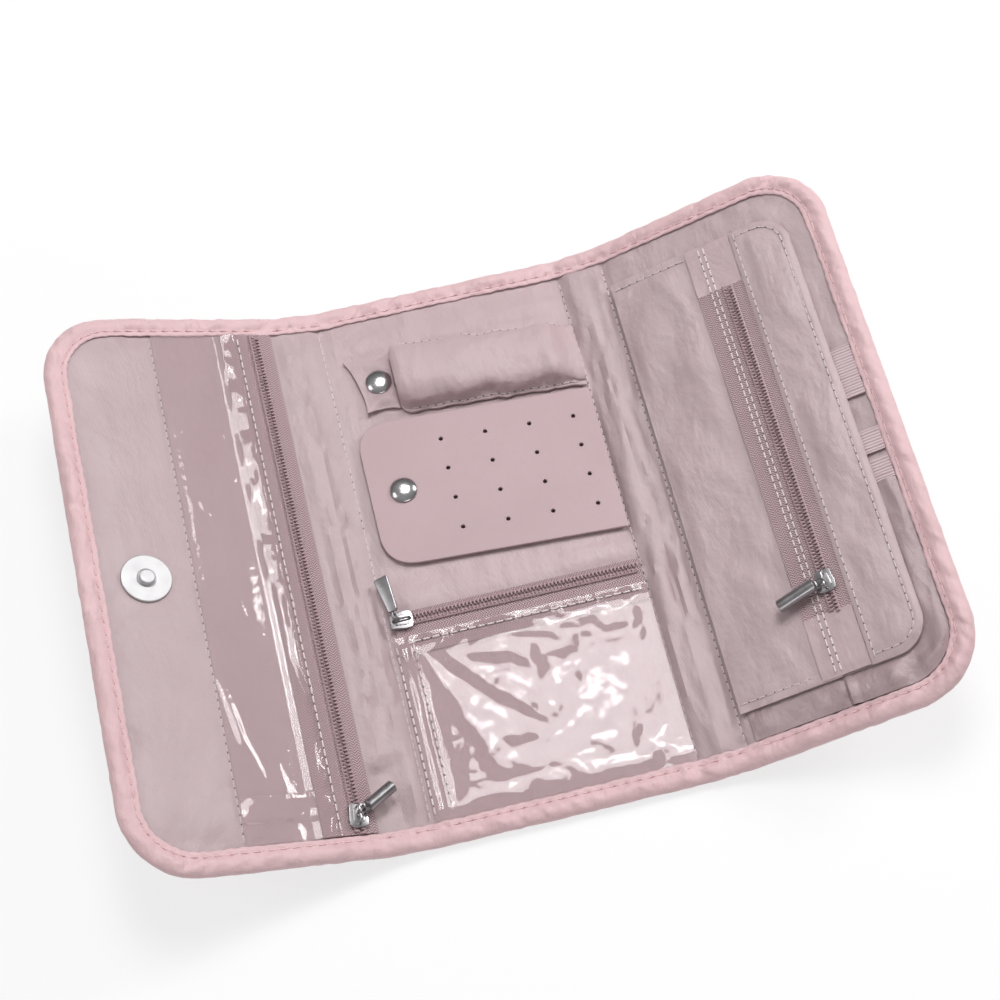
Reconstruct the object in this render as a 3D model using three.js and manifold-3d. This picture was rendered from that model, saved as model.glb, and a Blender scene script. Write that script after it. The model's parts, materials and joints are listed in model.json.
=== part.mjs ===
// Jewelry roll, opened out: a cloth case of three padded panels that folds shut round its pockets.
// Lengths are millimetres, +X runs along the unrolled cloth, +Y along the fold lines, +Z up.
// Every piece is drawn with the roll lying flat, then the groups below raise the two flaps.
import * as THREE from "three";
import { mergeVertices } from "three/addons/utils/BufferGeometryUtils.js";
import Module from "manifold-3d";

const wasm = await Module();
wasm.setup();

// Panels and fold lines
const panelLength = 215;
const centreWidth = 92.8;
const leftBandWidth = 16;
const rightBandWidth = 16.7;
const leftFlapWidth = 87.9;
const rightFlapWidth = 86.6;
const cornerRadius = 26;
const foldGap = 0.16;
const leftFoldLap = 3.3;
const lapPivotShare = 0.3;
const leftBandAngle = 11.5;
const leftFlapAngle = 11.8;
const rightBandAngle = 11.1;
const rightFlapAngle = 11.4;

// Cloth layers and the binding tape round the edge
const coverThickness = 0.6;
const foamThickness = 1.2;
const liningThickness = 0.6;
const layerGap = 0.25;
const bindingThickness = 0.55;
const bindingWidth = 8;
const bindingFold = 1.5;

// Zips: tape, coil rows and slider
const tapeThickness = 0.4;
const zipSlit = 0.9;
const zipClearance = 0.15;
const coilSeat = 0.06;
const coilWidth = 1.7;
const coilHeight = 1.2;
const toothPitch = 2.6;
const toothDepth = 0.5;
const sliderLength = 8.4;
const sliderWidth = 7;
const sliderTailWidth = 5.2;
const sliderPlate = 0.5;
const sliderFootPlate = 0.4;
const sliderWall = 0.6;
const sliderNeck = 0.6;
const sliderNeckLength = 2.4;
const rodRadius = 0.4;
const rodSpan = 5.4;
const rodPost = 0.9;
const eyeWall = 0.65;
const eyeClearance = 0.22;
const eyeWidth = 0.9;
const pullNeckRadius = 0.6;
const pullNeckLength = 3.9;

// Long pocket on the left flap, behind clear vinyl
const longTapeMargin = 0.9;
const longTapeInnerWidth = 6.2;
const longTapeOuterWidth = 12.3;
const vinylThickness = 0.4;
const vinylCrown = 0.8;
const longVinylLap = 9.3;
const longVinylReach = 40.3;
const longSliderEndGap = 6.05;
const longPullLength = 15.8;
const longPullRadius = 2.2;
const longPullTurn = 58;

// Small pocket on the centre panel, behind clear vinyl
const smallZipCardGap = 16.05;
const smallZipStart = 2.4;
const smallZipEndGap = 0.6;
const smallTapeUpperWidth = 3;
const smallTapeLowerWidth = 12.3;
const smallVinylLap = 6;
const smallVinylMargin = 0.5;
const smallVinylCrown = 1.4;
const smallSliderRest = 5.2;
const smallPullSlip = -1.7;
const smallPullLength = 17;
const smallPullWidth = 5.4;
const smallPullThickness = 1.4;
const smallPullTurn = 7.5;

// Earring card, sewn into the right fold line and snapped down at its left
const cardLength = 88;
const cardHeight = 58.5;
const cardLift = 1.1;
const cardThickness = 1.1;
const cardCorner = 12;
const cardRollGap = 3.65;
const cardSlope = 3.3;
const cardHinge = 0.4;
const cardHoleRadius = 0.8;
const cardHoleColumns = 4;
const cardHoleRows = 4;
const cardHolePitchX = 16.45;
const cardHolePitchY = 12.2;
const cardHoleInset = 8.6;
const cardSnapInset = 12.3;

// Snap fasteners: cap and socket above, stud below
const snapCapRadius = 4.9;
const snapCapHeight = 1.9;
const snapNeckRadius = 2.3;
const snapSocketRadius = 4.2;
const snapSocketThickness = 0.4;
const snapStudRadius = 4.4;
const snapStudPlate = 0.4;
const snapPostRadius = 1.5;
const snapClearance = 0.2;

// Ring roll: padded tube with a flat tab at its free end
const ringRollLength = 69.4;
const ringRollWidth = 23.6;
const ringRollHeight = 10.2;
const ringRollEndHeight = 4.2;
const ringRollTaper = 13;
const ringRollTabHeight = 8.7;
const ringRollWelt = 1.9;
const ringRollWeltThickness = 1;
const ringRollEdgeGap = 42.5;
const ringRollSlope = 4.6;
const ringTabLength = 11.6;
const ringTabWidth = 24;
const ringTabThickness = 1;
const ringTabSkew = 5.4;
const ringTabSnapInset = 5.6;

// Page: a zipped pocket that turns like a leaf on the right flap
const pageWidth = 69.6;
const pageEndGap = 19.5;
const pageCorner = 12;
const pageDrop = 0.8;
const pageHingeGap = 1.9;
const pageRise = 1.2;
const pageClothThickness = 0.5;
const pageHollow = 0.35;
const pageZipPlace = 42.3;
const pageTapeWidth = 11.8;
const pageStitchInset = 4.8;
const pageFacingGap = 6.1;
const pageZipTopGap = 20;
const pageZipBottomGap = 22;
const pageTabThickness = 0.5;
const pageSliderRest = 33.4;
const pagePullLength = 18;
const pagePullRadius = 2.3;
const pagePullTurn = 103;

// Necklace keepers and pocket under the page
const keeperMargin = 4;
const elasticThickness = 0.5;
const upperElasticWidth = 20.3;
const upperElasticPlace = 16.8;
const lowerElasticWidth = 9;
const lowerElasticPlace = -11.5;
const mouthElasticWidth = 8.8;
const mouthElasticPlace = -22.6;
const pocketClothThickness = 0.5;
const pocketGape = 2.6;
const pocketGapeWidth = 5.6;

// Magnetic fastener
const magnetRadius = 9;
const magnetPlate = 1.3;
const magnetPlace = 64.6;
const magnetRim = 1.1;
const magnetRimHeight = 0.3;
const magnetPostRadius = 2.8;
const magnetPostTipRadius = 2.3;
const magnetPostHeight = 1.7;
const magnetSocketClearance = 0.35;

// Shut, the left flap leans this much past level, down to its magnet
const closedAngle = 1.2;
const closedClearance = 0.35;
const foldAxisClearance = 0.05;

// Levels above the surface that the roll lies on
const coverLow = bindingThickness + layerGap;
const foamLow = coverLow + coverThickness + layerGap;
const liningLow = foamLow + foamThickness + layerGap;
const faceLevel = liningLow + liningThickness;
const bindingTop = faceLevel + layerGap + bindingThickness;
const panelThickness = faceLevel - coverLow;

// Zip levels, counted from the underside of its tapes
const coilLow = tapeThickness + coilSeat;
const coilTop = coilLow + coilHeight;
const plateLow = coilTop + zipClearance;
const plateTop = plateLow + sliderPlate;
const eyeRadius = rodRadius + eyeClearance + eyeWall;
const longRodLevel = plateTop + zipClearance + Math.max(eyeRadius, longPullRadius);
const smallRodLevel = plateTop + zipClearance + Math.max(eyeRadius, smallPullThickness / 2);
const pageRodLevel = plateTop + zipClearance + Math.max(eyeRadius, pagePullRadius);
const tapeStandoff = 2 * zipClearance + sliderFootPlate;
const slitHalf = zipSlit / 2;

// Heights of what lies on the panels, counted from their inner faces
const longSliderTop = tapeStandoff + longRodLevel + rodRadius;
const bindingBulge = bindingTop - faceLevel;
const pageFrontLow = pageClothThickness + pageHollow;
const pageTapeLow = pageFrontLow + pageClothThickness + layerGap;
const ringRollTop = layerGap + ringRollHeight;

// Shut, each flap lies over what is under it: the fold lines' axes stand above the panels' inner faces
const rightFoldRise = bindingBulge + foldAxisClearance;
const rightClosedHeight = rightBandWidth + 2 * rightFoldRise;
const closedFlapGap = longSliderTop + bindingBulge + closedClearance;
const leftClosedHeight = rightClosedHeight + panelThickness + closedFlapGap;
const leftFoldRise = (leftClosedHeight - leftBandWidth) / 2;
const closedPageGap = rightClosedHeight - ringRollTop - pageRise - pageTapeLow - coilTop;
if (closedPageGap < 0) {
  console.log("the ring roll is " + (-closedPageGap).toFixed(1) + " mm too tall to shut the page over it");
}

// Places along the flat cloth
const halfLength = panelLength / 2;
const leftSeam = -centreWidth / 2;
const rightSeam = centreWidth / 2;
const leftCrease = leftSeam - leftBandWidth;
const rightCrease = rightSeam + rightBandWidth;
const leftEnd = leftCrease - leftFlapWidth;
const rightEnd = rightCrease + rightFlapWidth;
const ringRollPlace = halfLength - ringRollEdgeGap;
const cardPlace = ringRollPlace - ringRollWidth / 2 - cardRollGap - cardHeight / 2;
const smallZipPlace = cardPlace - cardHeight / 2 - smallZipCardGap;
const pageHeight = panelLength - 2 * pageEndGap;
const clothInset = bindingFold + layerGap;
const padInset = bindingWidth + layerGap;
const fieldHalf = halfLength - padInset;

const round = 20;
const cornerSteps = 6;

// Finishes
const liningCloth = { color: 0xc4acb0, roughness: 0.7, metalness: 0 };
const coverCloth = { color: 0xd9b5bb, roughness: 0.75, metalness: 0 };
const bindingCloth = { color: 0xebc3c8, roughness: 0.65, metalness: 0 };
const paddingFoam = { color: 0xf2efe8, roughness: 0.95, metalness: 0 };
const tapeCloth = { color: 0xa08288, roughness: 0.85, metalness: 0 };
const coilNylon = { color: 0x785a5f, roughness: 0.5, metalness: 0 };
const elasticCloth = { color: 0xb8a0a4, roughness: 0.85, metalness: 0 };
const cardLeather = { color: 0xcdb6ba, roughness: 0.6, metalness: 0 };
const polishedMetal = { color: 0xc9c9cc, roughness: 0.2, metalness: 1 };
const clearVinyl = { color: 0xf4f0f2, roughness: 0.1, metalness: 0, transparent: true, opacity: 0.35 };

// Adds one named mesh to a group
function addPiece(group, name, geometry, finish) {
  const mesh = new THREE.Mesh(geometry, new THREE.MeshStandardMaterial(finish));
  mesh.name = name;
  group.add(mesh);
  return mesh;
}

// Turns a closed surface so that its faces point out
function turnOutward(geometry) {
  const place = geometry.getAttribute("position");
  const index = Array.from(geometry.index.array);
  const a = new THREE.Vector3();
  const b = new THREE.Vector3();
  const c = new THREE.Vector3();
  let volume = 0;
  for (let i = 0; i < index.length; i += 3) {
    a.fromBufferAttribute(place, index[i]);
    b.fromBufferAttribute(place, index[i + 1]);
    c.fromBufferAttribute(place, index[i + 2]);
    volume += a.dot(b.cross(c));
  }
  if (volume < 0) {
    geometry.setIndex(index.reverse());
  }
  return geometry;
}

// A closed solid through a row of rings that all hold as many points as the outline
function ringSolid(rings, outline) {
  const count = outline.length;
  const index = [];
  for (let ring = 0; ring + 1 < rings.length; ring++) {
    for (let k = 0; k < count; k++) {
      const a = ring * count + k;
      const b = ring * count + ((k + 1) % count);
      index.push(a, b, b + count, a, b + count, a + count);
    }
  }
  const last = (rings.length - 1) * count;
  const clockwise = THREE.ShapeUtils.isClockWise(outline);
  for (const [a, b, c] of THREE.ShapeUtils.triangulateShape(outline, [])) {
    const [p, q] = clockwise ? [c, a] : [a, c];
    index.push(q, b, p, last + p, last + b, last + q);
  }
  const geometry = new THREE.BufferGeometry();
  const places = rings.flat().flatMap((point) => point.toArray());
  geometry.setAttribute("position", new THREE.Float32BufferAttribute(places, 3));
  geometry.setIndex(index);
  return turnOutward(geometry);
}

// One section carried along a flat path; a section's x counts outward from the path, its y is height,
// and a path's end leans by its own slope
function sweepSection(section, path) {
  const rings = path.map((at) =>
    section.map((corner) => {
      const slant = (at.lean ?? 0) * (corner.y - bindingTop * lapPivotShare);
      return new THREE.Vector3(at.x + at.nx * corner.x + slant, at.y + at.ny * corner.x, corner.y);
    }));
  return ringSolid(rings, section);
}

// A sheet of even thickness over a grid of columns and rows, at the height that a function gives
function sheetSolid(columns, rows, thickness, height) {
  const under = rows.map((y) => new THREE.Vector2(y, 0));
  const over = rows.map((y) => new THREE.Vector2(y, thickness)).reverse();
  const outline = under.concat(over);
  const rings = columns.map((x) =>
    outline.map((corner) => new THREE.Vector3(x, corner.x, height(x, corner.x) + corner.y)));
  return ringSolid(rings, outline);
}

// A flat plate between two heights
function plate(shape, low, high) {
  const geometry = new THREE.ExtrudeGeometry(shape, {
    depth: high - low,
    bevelEnabled: false,
    curveSegments: cornerSteps,
  });
  return geometry.translate(0, 0, low);
}

function rectangle(left, right, bottom, top) {
  const shape = new THREE.Shape();
  shape.moveTo(left, bottom);
  shape.lineTo(right, bottom);
  shape.lineTo(right, top);
  shape.lineTo(left, top);
  shape.closePath();
  return shape;
}

// A straight-sided outline whose corners are rounded by a radius each
function roundedOutline(corners) {
  const shape = new THREE.Shape();
  corners.forEach((corner, k) => {
    const before = corners[(k + corners.length - 1) % corners.length];
    const after = corners[(k + 1) % corners.length];
    const at = new THREE.Vector2(corner.x, corner.y);
    const back = new THREE.Vector2(before.x, before.y).sub(at).normalize();
    const ahead = new THREE.Vector2(after.x, after.y).sub(at).normalize();
    const start = at.clone().addScaledVector(back, corner.radius);
    const end = at.clone().addScaledVector(ahead, corner.radius);
    if (k === 0) {
      shape.moveTo(start.x, start.y);
    } else {
      shape.lineTo(start.x, start.y);
    }
    if (corner.radius > 0) {
      const pull = 0.5523;
      const first = at.clone().addScaledVector(back, corner.radius * (1 - pull));
      const second = at.clone().addScaledVector(ahead, corner.radius * (1 - pull));
      shape.bezierCurveTo(first.x, first.y, second.x, second.y, end.x, end.y);
    }
  });
  shape.closePath();
  return shape;
}

// A flap's outline between its fold line and its rounded free end, drawn in by an inset
function flapOutline(crease, end, inset) {
  const side = Math.sign(end - crease);
  const near = crease + (side * foldGap) / 2;
  const far = end - side * inset;
  const half = halfLength - inset;
  const radius = cornerRadius - inset;
  return roundedOutline([
    { x: near, y: -half, radius: 0 },
    { x: far, y: -half, radius },
    { x: far, y: half, radius },
    { x: near, y: half, radius: 0 },
  ]);
}

// The folded tape's section: two lips, and a round fold at the edge
function bindingSection() {
  const middle = bindingTop / 2;
  const section = [new THREE.Vector2(-bindingWidth, 0)];
  for (let k = 0; k <= cornerSteps; k++) {
    const angle = -Math.PI / 2 + (Math.PI * k) / cornerSteps;
    section.push(new THREE.Vector2(middle * (Math.cos(angle) - 1), middle * (1 + Math.sin(angle))));
  }
  section.push(new THREE.Vector2(-bindingWidth, bindingTop));
  section.push(new THREE.Vector2(-bindingWidth, bindingTop - bindingThickness));
  section.push(new THREE.Vector2(-bindingFold, bindingTop - bindingThickness));
  section.push(new THREE.Vector2(-bindingFold, bindingThickness));
  section.push(new THREE.Vector2(-bindingWidth, bindingThickness));
  return section;
}

// The left folds turn well above the cloth, so there each binding's end slopes and laps over the next
function foldLean(x) {
  return x < 0 ? -leftFoldLap / bindingTop : 0;
}

// The edge of a flap from one end of its fold line round to the other
function flapEdge(crease, end) {
  const side = Math.sign(end - crease);
  const near = crease + (side * foldGap) / 2;
  const centre = end - side * cornerRadius;
  const lean = foldLean(crease);
  const path = [{ x: near, y: halfLength, nx: 0, ny: 1, lean }];
  for (const up of [1, -1]) {
    for (let k = 0; k <= cornerSteps; k++) {
      const share = up > 0 ? k / cornerSteps : 1 - k / cornerSteps;
      const angle = (Math.PI / 2) * share;
      const nx = side * Math.sin(angle);
      const ny = up * Math.cos(angle);
      const y = up * (halfLength - cornerRadius) + cornerRadius * ny;
      path.push({ x: centre + cornerRadius * nx, y, nx, ny });
    }
  }
  path.push({ x: near, y: -halfLength, nx: 0, ny: -1, lean });
  return path;
}

// A straight length of binding along one long edge
function straightBinding(from, to, up) {
  const left = from + foldGap / 2;
  const right = to - foldGap / 2;
  const y = up * halfLength;
  const path = [
    { x: left, y, nx: 0, ny: up, lean: foldLean(left) },
    { x: right, y, nx: 0, ny: up, lean: foldLean(right) },
  ];
  return sweepSection(bindingSection(), path);
}

// A solid of revolution about +Z
function turned(profile) {
  const points = profile.map(([radius, height]) => new THREE.Vector2(radius, height));
  return new THREE.LatheGeometry(points, round).rotateX(Math.PI / 2);
}

// A closed geometry as a solid that can be joined and trimmed, and back again
function solidFrom(geometry) {
  const bare = new THREE.BufferGeometry();
  bare.setAttribute("position", geometry.getAttribute("position"));
  bare.setIndex(geometry.index);
  const merged = mergeVertices(bare, 1e-4);
  return new wasm.Manifold(new wasm.Mesh({
    numProp: 3,
    vertProperties: merged.getAttribute("position").array,
    triVerts: new Uint32Array(merged.index.array),
  }));
}

function geometryFrom(solid) {
  const mesh = solid.getMesh();
  const geometry = new THREE.BufferGeometry();
  geometry.setAttribute("position", new THREE.BufferAttribute(mesh.vertProperties, 3));
  geometry.setIndex(new THREE.BufferAttribute(mesh.triVerts, 1));
  return geometry;
}

// Joins closed geometries into one solid
function fuse(geometries) {
  const solids = geometries.map(solidFrom);
  return geometryFrom(solids.reduce((whole, solid) => whole.add(solid)));
}

// Keeps the part of a piece that lies within an outline
function trim(geometry, outline) {
  const prism = solidFrom(plate(outline, 0, halfLength));
  return geometryFrom(solidFrom(geometry).intersect(prism));
}

// A group that turns about a fold line; what it holds is still drawn in flat coordinates
function foldGroup(parent, x, z, degrees) {
  const hinge = new THREE.Group();
  hinge.position.set(x, 0, z);
  hinge.rotation.y = THREE.MathUtils.degToRad(degrees);
  parent.add(hinge);
  const flat = new THREE.Group();
  flat.position.set(-x, 0, -z);
  hinge.add(flat);
  return flat;
}

// A padded panel's cover, foam and lining; inside the binding the padding presses the cover out level
function addPanelLayers(group, name, outline) {
  const foamOutline = outline(padInset);
  const clothOutline = outline(clothInset);
  const edge = plate(clothOutline, coverLow, coverLow + coverThickness);
  const swell = plate(foamOutline, 0, coverLow + coverThickness / 2);
  addPiece(group, name + "_cover", fuse([edge, swell]), coverCloth);
  addPiece(group, name + "_foam", plate(foamOutline, foamLow, foamLow + foamThickness), paddingFoam);
  addPiece(group, name + "_lining", plate(clothOutline, liningLow, faceLevel), liningCloth);
}

// An unpadded band between two fold lines, with its two lengths of binding
function addBand(group, name, from, to) {
  const half = halfLength - clothInset;
  const outline = rectangle(from + foldGap / 2, to - foldGap / 2, -half, half);
  const liningFrom = coverLow + coverThickness + layerGap;
  addPiece(group, name + "_cover", plate(outline, coverLow, coverLow + coverThickness), coverCloth);
  addPiece(group, name + "_lining", plate(outline, liningFrom, liningFrom + liningThickness), liningCloth);
  addPiece(group, name + "_binding_top", straightBinding(from, to, 1), bindingCloth);
  addPiece(group, name + "_binding_bottom", straightBinding(from, to, -1), bindingCloth);
}

// One row of coil teeth along +Y, standing on a tape; side says which side of the slit it is on
function coilRow(side, low, high, base) {
  const teeth = Math.max(1, Math.round((high - low) / toothPitch));
  const pitch = (high - low) / teeth;
  const outer = slitHalf + coilWidth;
  const foot = base + coilLow;
  const crest = base + coilTop;
  const shift = side > 0 ? 0 : 0.5;
  const outlineAt = (tooth) => {
    const dip = tooth ? 0 : toothDepth;
    return [
      new THREE.Vector2(side * slitHalf, foot),
      new THREE.Vector2(side * outer, foot),
      new THREE.Vector2(side * outer, crest - toothDepth),
      new THREE.Vector2((side * (slitHalf + outer)) / 2, crest - dip),
      new THREE.Vector2(side * (slitHalf + dip / 2), crest - toothDepth - dip / 2),
    ];
  };
  const rings = [];
  const places = [low];
  for (let k = 0; k < 2 * teeth; k++) {
    const place = low + ((k + shift) * pitch) / 2;
    if (place > low) {
      places.push(place);
    }
  }
  places.push(high);
  places.forEach((y, k) => {
    const outline = outlineAt(k % 2 === 0);
    rings.push(outline.map((corner) => new THREE.Vector3(corner.x, y, corner.y)));
  });
  return ringSolid(rings, outlineAt(true));
}

// Slider body: two plates joined by a slim neck, side walls over the coils, and a rod for the pull
function sliderBody(base, rodLevel) {
  const front = sliderLength / 2;
  const shield = (inset) => {
    const shape = new THREE.Shape();
    const wide = sliderWidth / 2 - inset;
    const tail = sliderTailWidth / 2 - inset;
    shape.moveTo(-tail, -front);
    shape.lineTo(tail, -front);
    shape.lineTo(wide, front * 0.3);
    shape.quadraticCurveTo(wide, front, wide / 2, front);
    shape.lineTo(-wide / 2, front);
    shape.quadraticCurveTo(-wide, front, -wide, front * 0.3);
    shape.closePath();
    return shape;
  };
  const top = plate(shield(0), base + plateLow, base + plateTop);
  const foot = plate(shield(sliderWall), base - zipClearance - sliderFootPlate, base - zipClearance);
  const neckShape = rectangle(-sliderNeck / 2, sliderNeck / 2, front - sliderNeckLength - sliderWall,
    front - sliderWall);
  const neckLow = base - zipClearance - sliderFootPlate / 2;
  const neck = plate(neckShape, neckLow, base + plateLow + sliderPlate / 2);
  const wallFrom = base + tapeThickness + zipClearance;
  const wallShape = (side) => {
    const shape = new THREE.Shape();
    const tail = sliderTailWidth / 2;
    const wide = sliderWidth / 2;
    shape.moveTo(side * (tail - sliderWall / 2), -front);
    shape.lineTo(side * tail, -front);
    shape.lineTo(side * wide, front * 0.3);
    shape.lineTo(side * (wide - sliderWall), front * 0.3);
    shape.closePath();
    return shape;
  };
  const walls = [1, -1].map((side) => {
    const shape = wallShape(side);
    return plate(shape, wallFrom, base + plateLow + sliderPlate / 2);
  });
  const post = (y) => {
    const outline = rectangle(-rodRadius, rodRadius, y - rodPost / 2, y + rodPost / 2);
    return plate(outline, base + plateTop - sliderPlate / 2, base + rodLevel);
  };
  const reach = rodSpan / 2;
  const rod = new THREE.CylinderGeometry(rodRadius, rodRadius, rodSpan + rodPost, 10);
  rod.translate(0, 0, base + rodLevel);
  return fuse([top, foot, neck, ...walls, post(reach), post(-reach), rod]);
}

// Pull: an eye round the slider's rod, a thin neck and a grip that lies at an angle to the chain
function pullEye(level) {
  const shape = new THREE.Shape();
  shape.absarc(0, 0, eyeRadius, 0, 2 * Math.PI);
  const hole = new THREE.Path();
  hole.absarc(0, 0, rodRadius + eyeClearance, 0, 2 * Math.PI);
  shape.holes.push(hole);
  const eye = new THREE.ExtrudeGeometry(shape, { depth: eyeWidth, bevelEnabled: false, curveSegments: 8 });
  eye.rotateX(Math.PI / 2);
  return eye.translate(0, eyeWidth / 2, level);
}

function pullArm(level, turn) {
  const start = eyeRadius - eyeWall / 2;
  const arm = new THREE.CylinderGeometry(pullNeckRadius, pullNeckRadius, pullNeckLength - start, 8);
  arm.translate(0, (pullNeckLength + start) / 2, 0);
  return arm.rotateZ(turn).translate(0, 0, level);
}

function barrelPull(level, degrees, length, radius) {
  const turn = THREE.MathUtils.degToRad(degrees);
  const grip = length - pullNeckLength + pullNeckRadius;
  const edge = radius / 6;
  const profile = [
    [0, 0],
    [radius - edge, 0],
    [radius, edge],
    [radius, grip - edge],
    [radius - edge, grip],
    [0, grip],
  ];
  const points = profile.map(([r, y]) => new THREE.Vector2(r, y));
  const barrel = new THREE.LatheGeometry(points, 16);
  barrel.translate(0, length - grip, 0);
  barrel.rotateZ(turn).translate(0, 0, level);
  return fuse([pullEye(level), pullArm(level, turn), barrel]);
}

function tabPull(level, degrees, length, width, thickness) {
  const turn = THREE.MathUtils.degToRad(degrees);
  const near = width / 4;
  const far = width / 2;
  const start = pullNeckLength - pullNeckRadius;
  const outline = roundedOutline([
    { x: -near, y: start, radius: 0 },
    { x: near, y: start, radius: 0 },
    { x: far, y: length, radius: thickness / 2 },
    { x: -far, y: length, radius: thickness / 2 },
  ]);
  const tab = plate(outline, -thickness / 2, thickness / 2);
  tab.rotateZ(turn).translate(0, 0, level);
  return fuse([pullEye(level), pullArm(level, turn), tab]);
}

// A zip along its group's +Y, from low to high, with its tapes' underside at base
function addZip(group, name, zip) {
  const leftTape = rectangle(-slitHalf - zip.leftWidth, -slitHalf, zip.low, zip.high);
  const rightTape = rectangle(slitHalf, slitHalf + zip.rightWidth, zip.low, zip.high);
  const top = zip.base + tapeThickness;
  addPiece(group, name + "_tape_" + zip.leftName, plate(leftTape, zip.base, top), tapeCloth);
  addPiece(group, name + "_tape_" + zip.rightName, plate(rightTape, zip.base, top), tapeCloth);
  addPiece(group, name + "_coil_" + zip.leftName, coilRow(-1, zip.low, zip.high, zip.base), coilNylon);
  addPiece(group, name + "_coil_" + zip.rightName, coilRow(1, zip.low, zip.high, zip.base), coilNylon);
  const carriage = new THREE.Group();
  carriage.position.set(0, zip.slider, 0);
  group.add(carriage);
  const slider = sliderBody(zip.base, zip.rodLevel);
  if (zip.sliderTurned) {
    slider.rotateZ(Math.PI);
  }
  addPiece(carriage, name + "_slider", slider, polishedMetal);
  const pull = addPiece(carriage, name + "_pull", zip.pull, polishedMetal);
  pull.position.y = zip.pullSlip;
}

// Snap stud that stands on the lining
function snapStud(base, postTop) {
  return turned([
    [0, base],
    [snapStudRadius, base],
    [snapStudRadius, base + snapStudPlate],
    [snapPostRadius, base + snapStudPlate],
    [snapPostRadius, postTop],
    [0, postTop],
  ]);
}

// Snap cap: dome above the cloth, neck through it and socket below, open at the bottom for the stud
function snapCap(clothLow, clothTop) {
  const socketTop = clothLow - snapClearance;
  const socketLow = socketTop - snapSocketThickness;
  const domeLow = clothTop + snapClearance;
  const bore = snapPostRadius + snapClearance;
  const profile = [
    [0, clothTop],
    [bore, clothTop],
    [bore, socketLow],
    [snapSocketRadius, socketLow],
    [snapSocketRadius, socketTop],
    [snapNeckRadius - snapClearance, socketTop],
    [snapNeckRadius - snapClearance, domeLow],
    [snapCapRadius, domeLow],
  ];
  for (let k = 1; k <= 4; k++) {
    const angle = (Math.PI / 2) * (k / 4);
    profile.push([snapCapRadius * Math.cos(angle), domeLow + snapCapHeight * Math.sin(angle)]);
  }
  profile[profile.length - 1][0] = 0;
  return turned(profile);
}

function circleHole(shape, x, y, radius) {
  const hole = new THREE.Path();
  hole.absarc(x, y, radius, 0, 2 * Math.PI, true);
  shape.holes.push(hole);
}

// Half of the magnetic fastener: plate with a raised rim and a post
function magnetPostHalf(base) {
  const top = base + magnetPlate;
  return turned([
    [0, base],
    [magnetRadius, base],
    [magnetRadius, top + magnetRimHeight],
    [magnetRadius - magnetRim, top + magnetRimHeight],
    [magnetRadius - magnetRim, top],
    [magnetPostRadius, top],
    [magnetPostTipRadius, top + magnetPostHeight - magnetRimHeight],
    [magnetPostTipRadius - magnetRimHeight, top + magnetPostHeight],
    [0, top + magnetPostHeight],
  ]);
}

// Other half, which stands out of the right flap's cover and takes the post in its socket
function magnetSocketHalf(thickness) {
  const bore = magnetPostRadius + magnetSocketClearance;
  const depth = magnetPostHeight + magnetSocketClearance;
  return turned([
    [0, 0],
    [magnetRadius, 0],
    [magnetRadius, thickness - magnetRim],
    [magnetRadius - magnetRim, thickness],
    [bore, thickness],
    [bore, thickness - depth],
    [0, thickness - depth],
  ]);
}

// A slow rise from 0 to 1 between two places
function ease(value, from, to) {
  return THREE.MathUtils.smoothstep(value, from, to);
}

function spread(from, to, count) {
  return Array.from({ length: count + 1 }, (_, k) => from + ((to - from) * k) / count);
}

const roll = new THREE.Group();

// Centre panel
const centre = new THREE.Group();
roll.add(centre);
addPanelLayers(centre, "centre", (inset) => rectangle(
  leftSeam + foldGap / 2,
  rightSeam - foldGap / 2,
  inset - halfLength,
  halfLength - inset,
));
addPiece(centre, "centre_binding_top", straightBinding(leftSeam, rightSeam, 1), bindingCloth);
addPiece(centre, "centre_binding_bottom", straightBinding(leftSeam, rightSeam, -1), bindingCloth);

// Small vinyl pocket with its zip, which runs along +X
const smallZip = new THREE.Group();
smallZip.rotation.z = -Math.PI / 2;
smallZip.position.set(leftSeam, smallZipPlace, faceLevel);
centre.add(smallZip);
addZip(smallZip, "small_zip", {
  leftName: "upper",
  rightName: "lower",
  leftWidth: smallTapeUpperWidth,
  rightWidth: smallTapeLowerWidth,
  low: smallZipStart,
  high: centreWidth - smallZipEndGap,
  base: tapeStandoff,
  rodLevel: smallRodLevel,
  slider: smallSliderRest,
  pullSlip: smallPullSlip,
  pull: tabPull(
    tapeStandoff + smallRodLevel,
    90 + smallPullTurn,
    smallPullLength,
    smallPullWidth,
    smallPullThickness,
  ),
});

// Vinyl lies on the tape at the zip and on the lining at its other edges
function vinylHeight(across, length, lap, crown, place) {
  const onTape = tapeStandoff + tapeThickness + zipClearance;
  const flat = layerGap;
  const down = ease(across, lap, lap + lap);
  const swell = Math.sin(Math.PI * ease(across, lap, length)) * Math.cos((Math.PI / 2) * place);
  return faceLevel + onTape * (1 - down) + flat * down + crown * swell;
}

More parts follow.
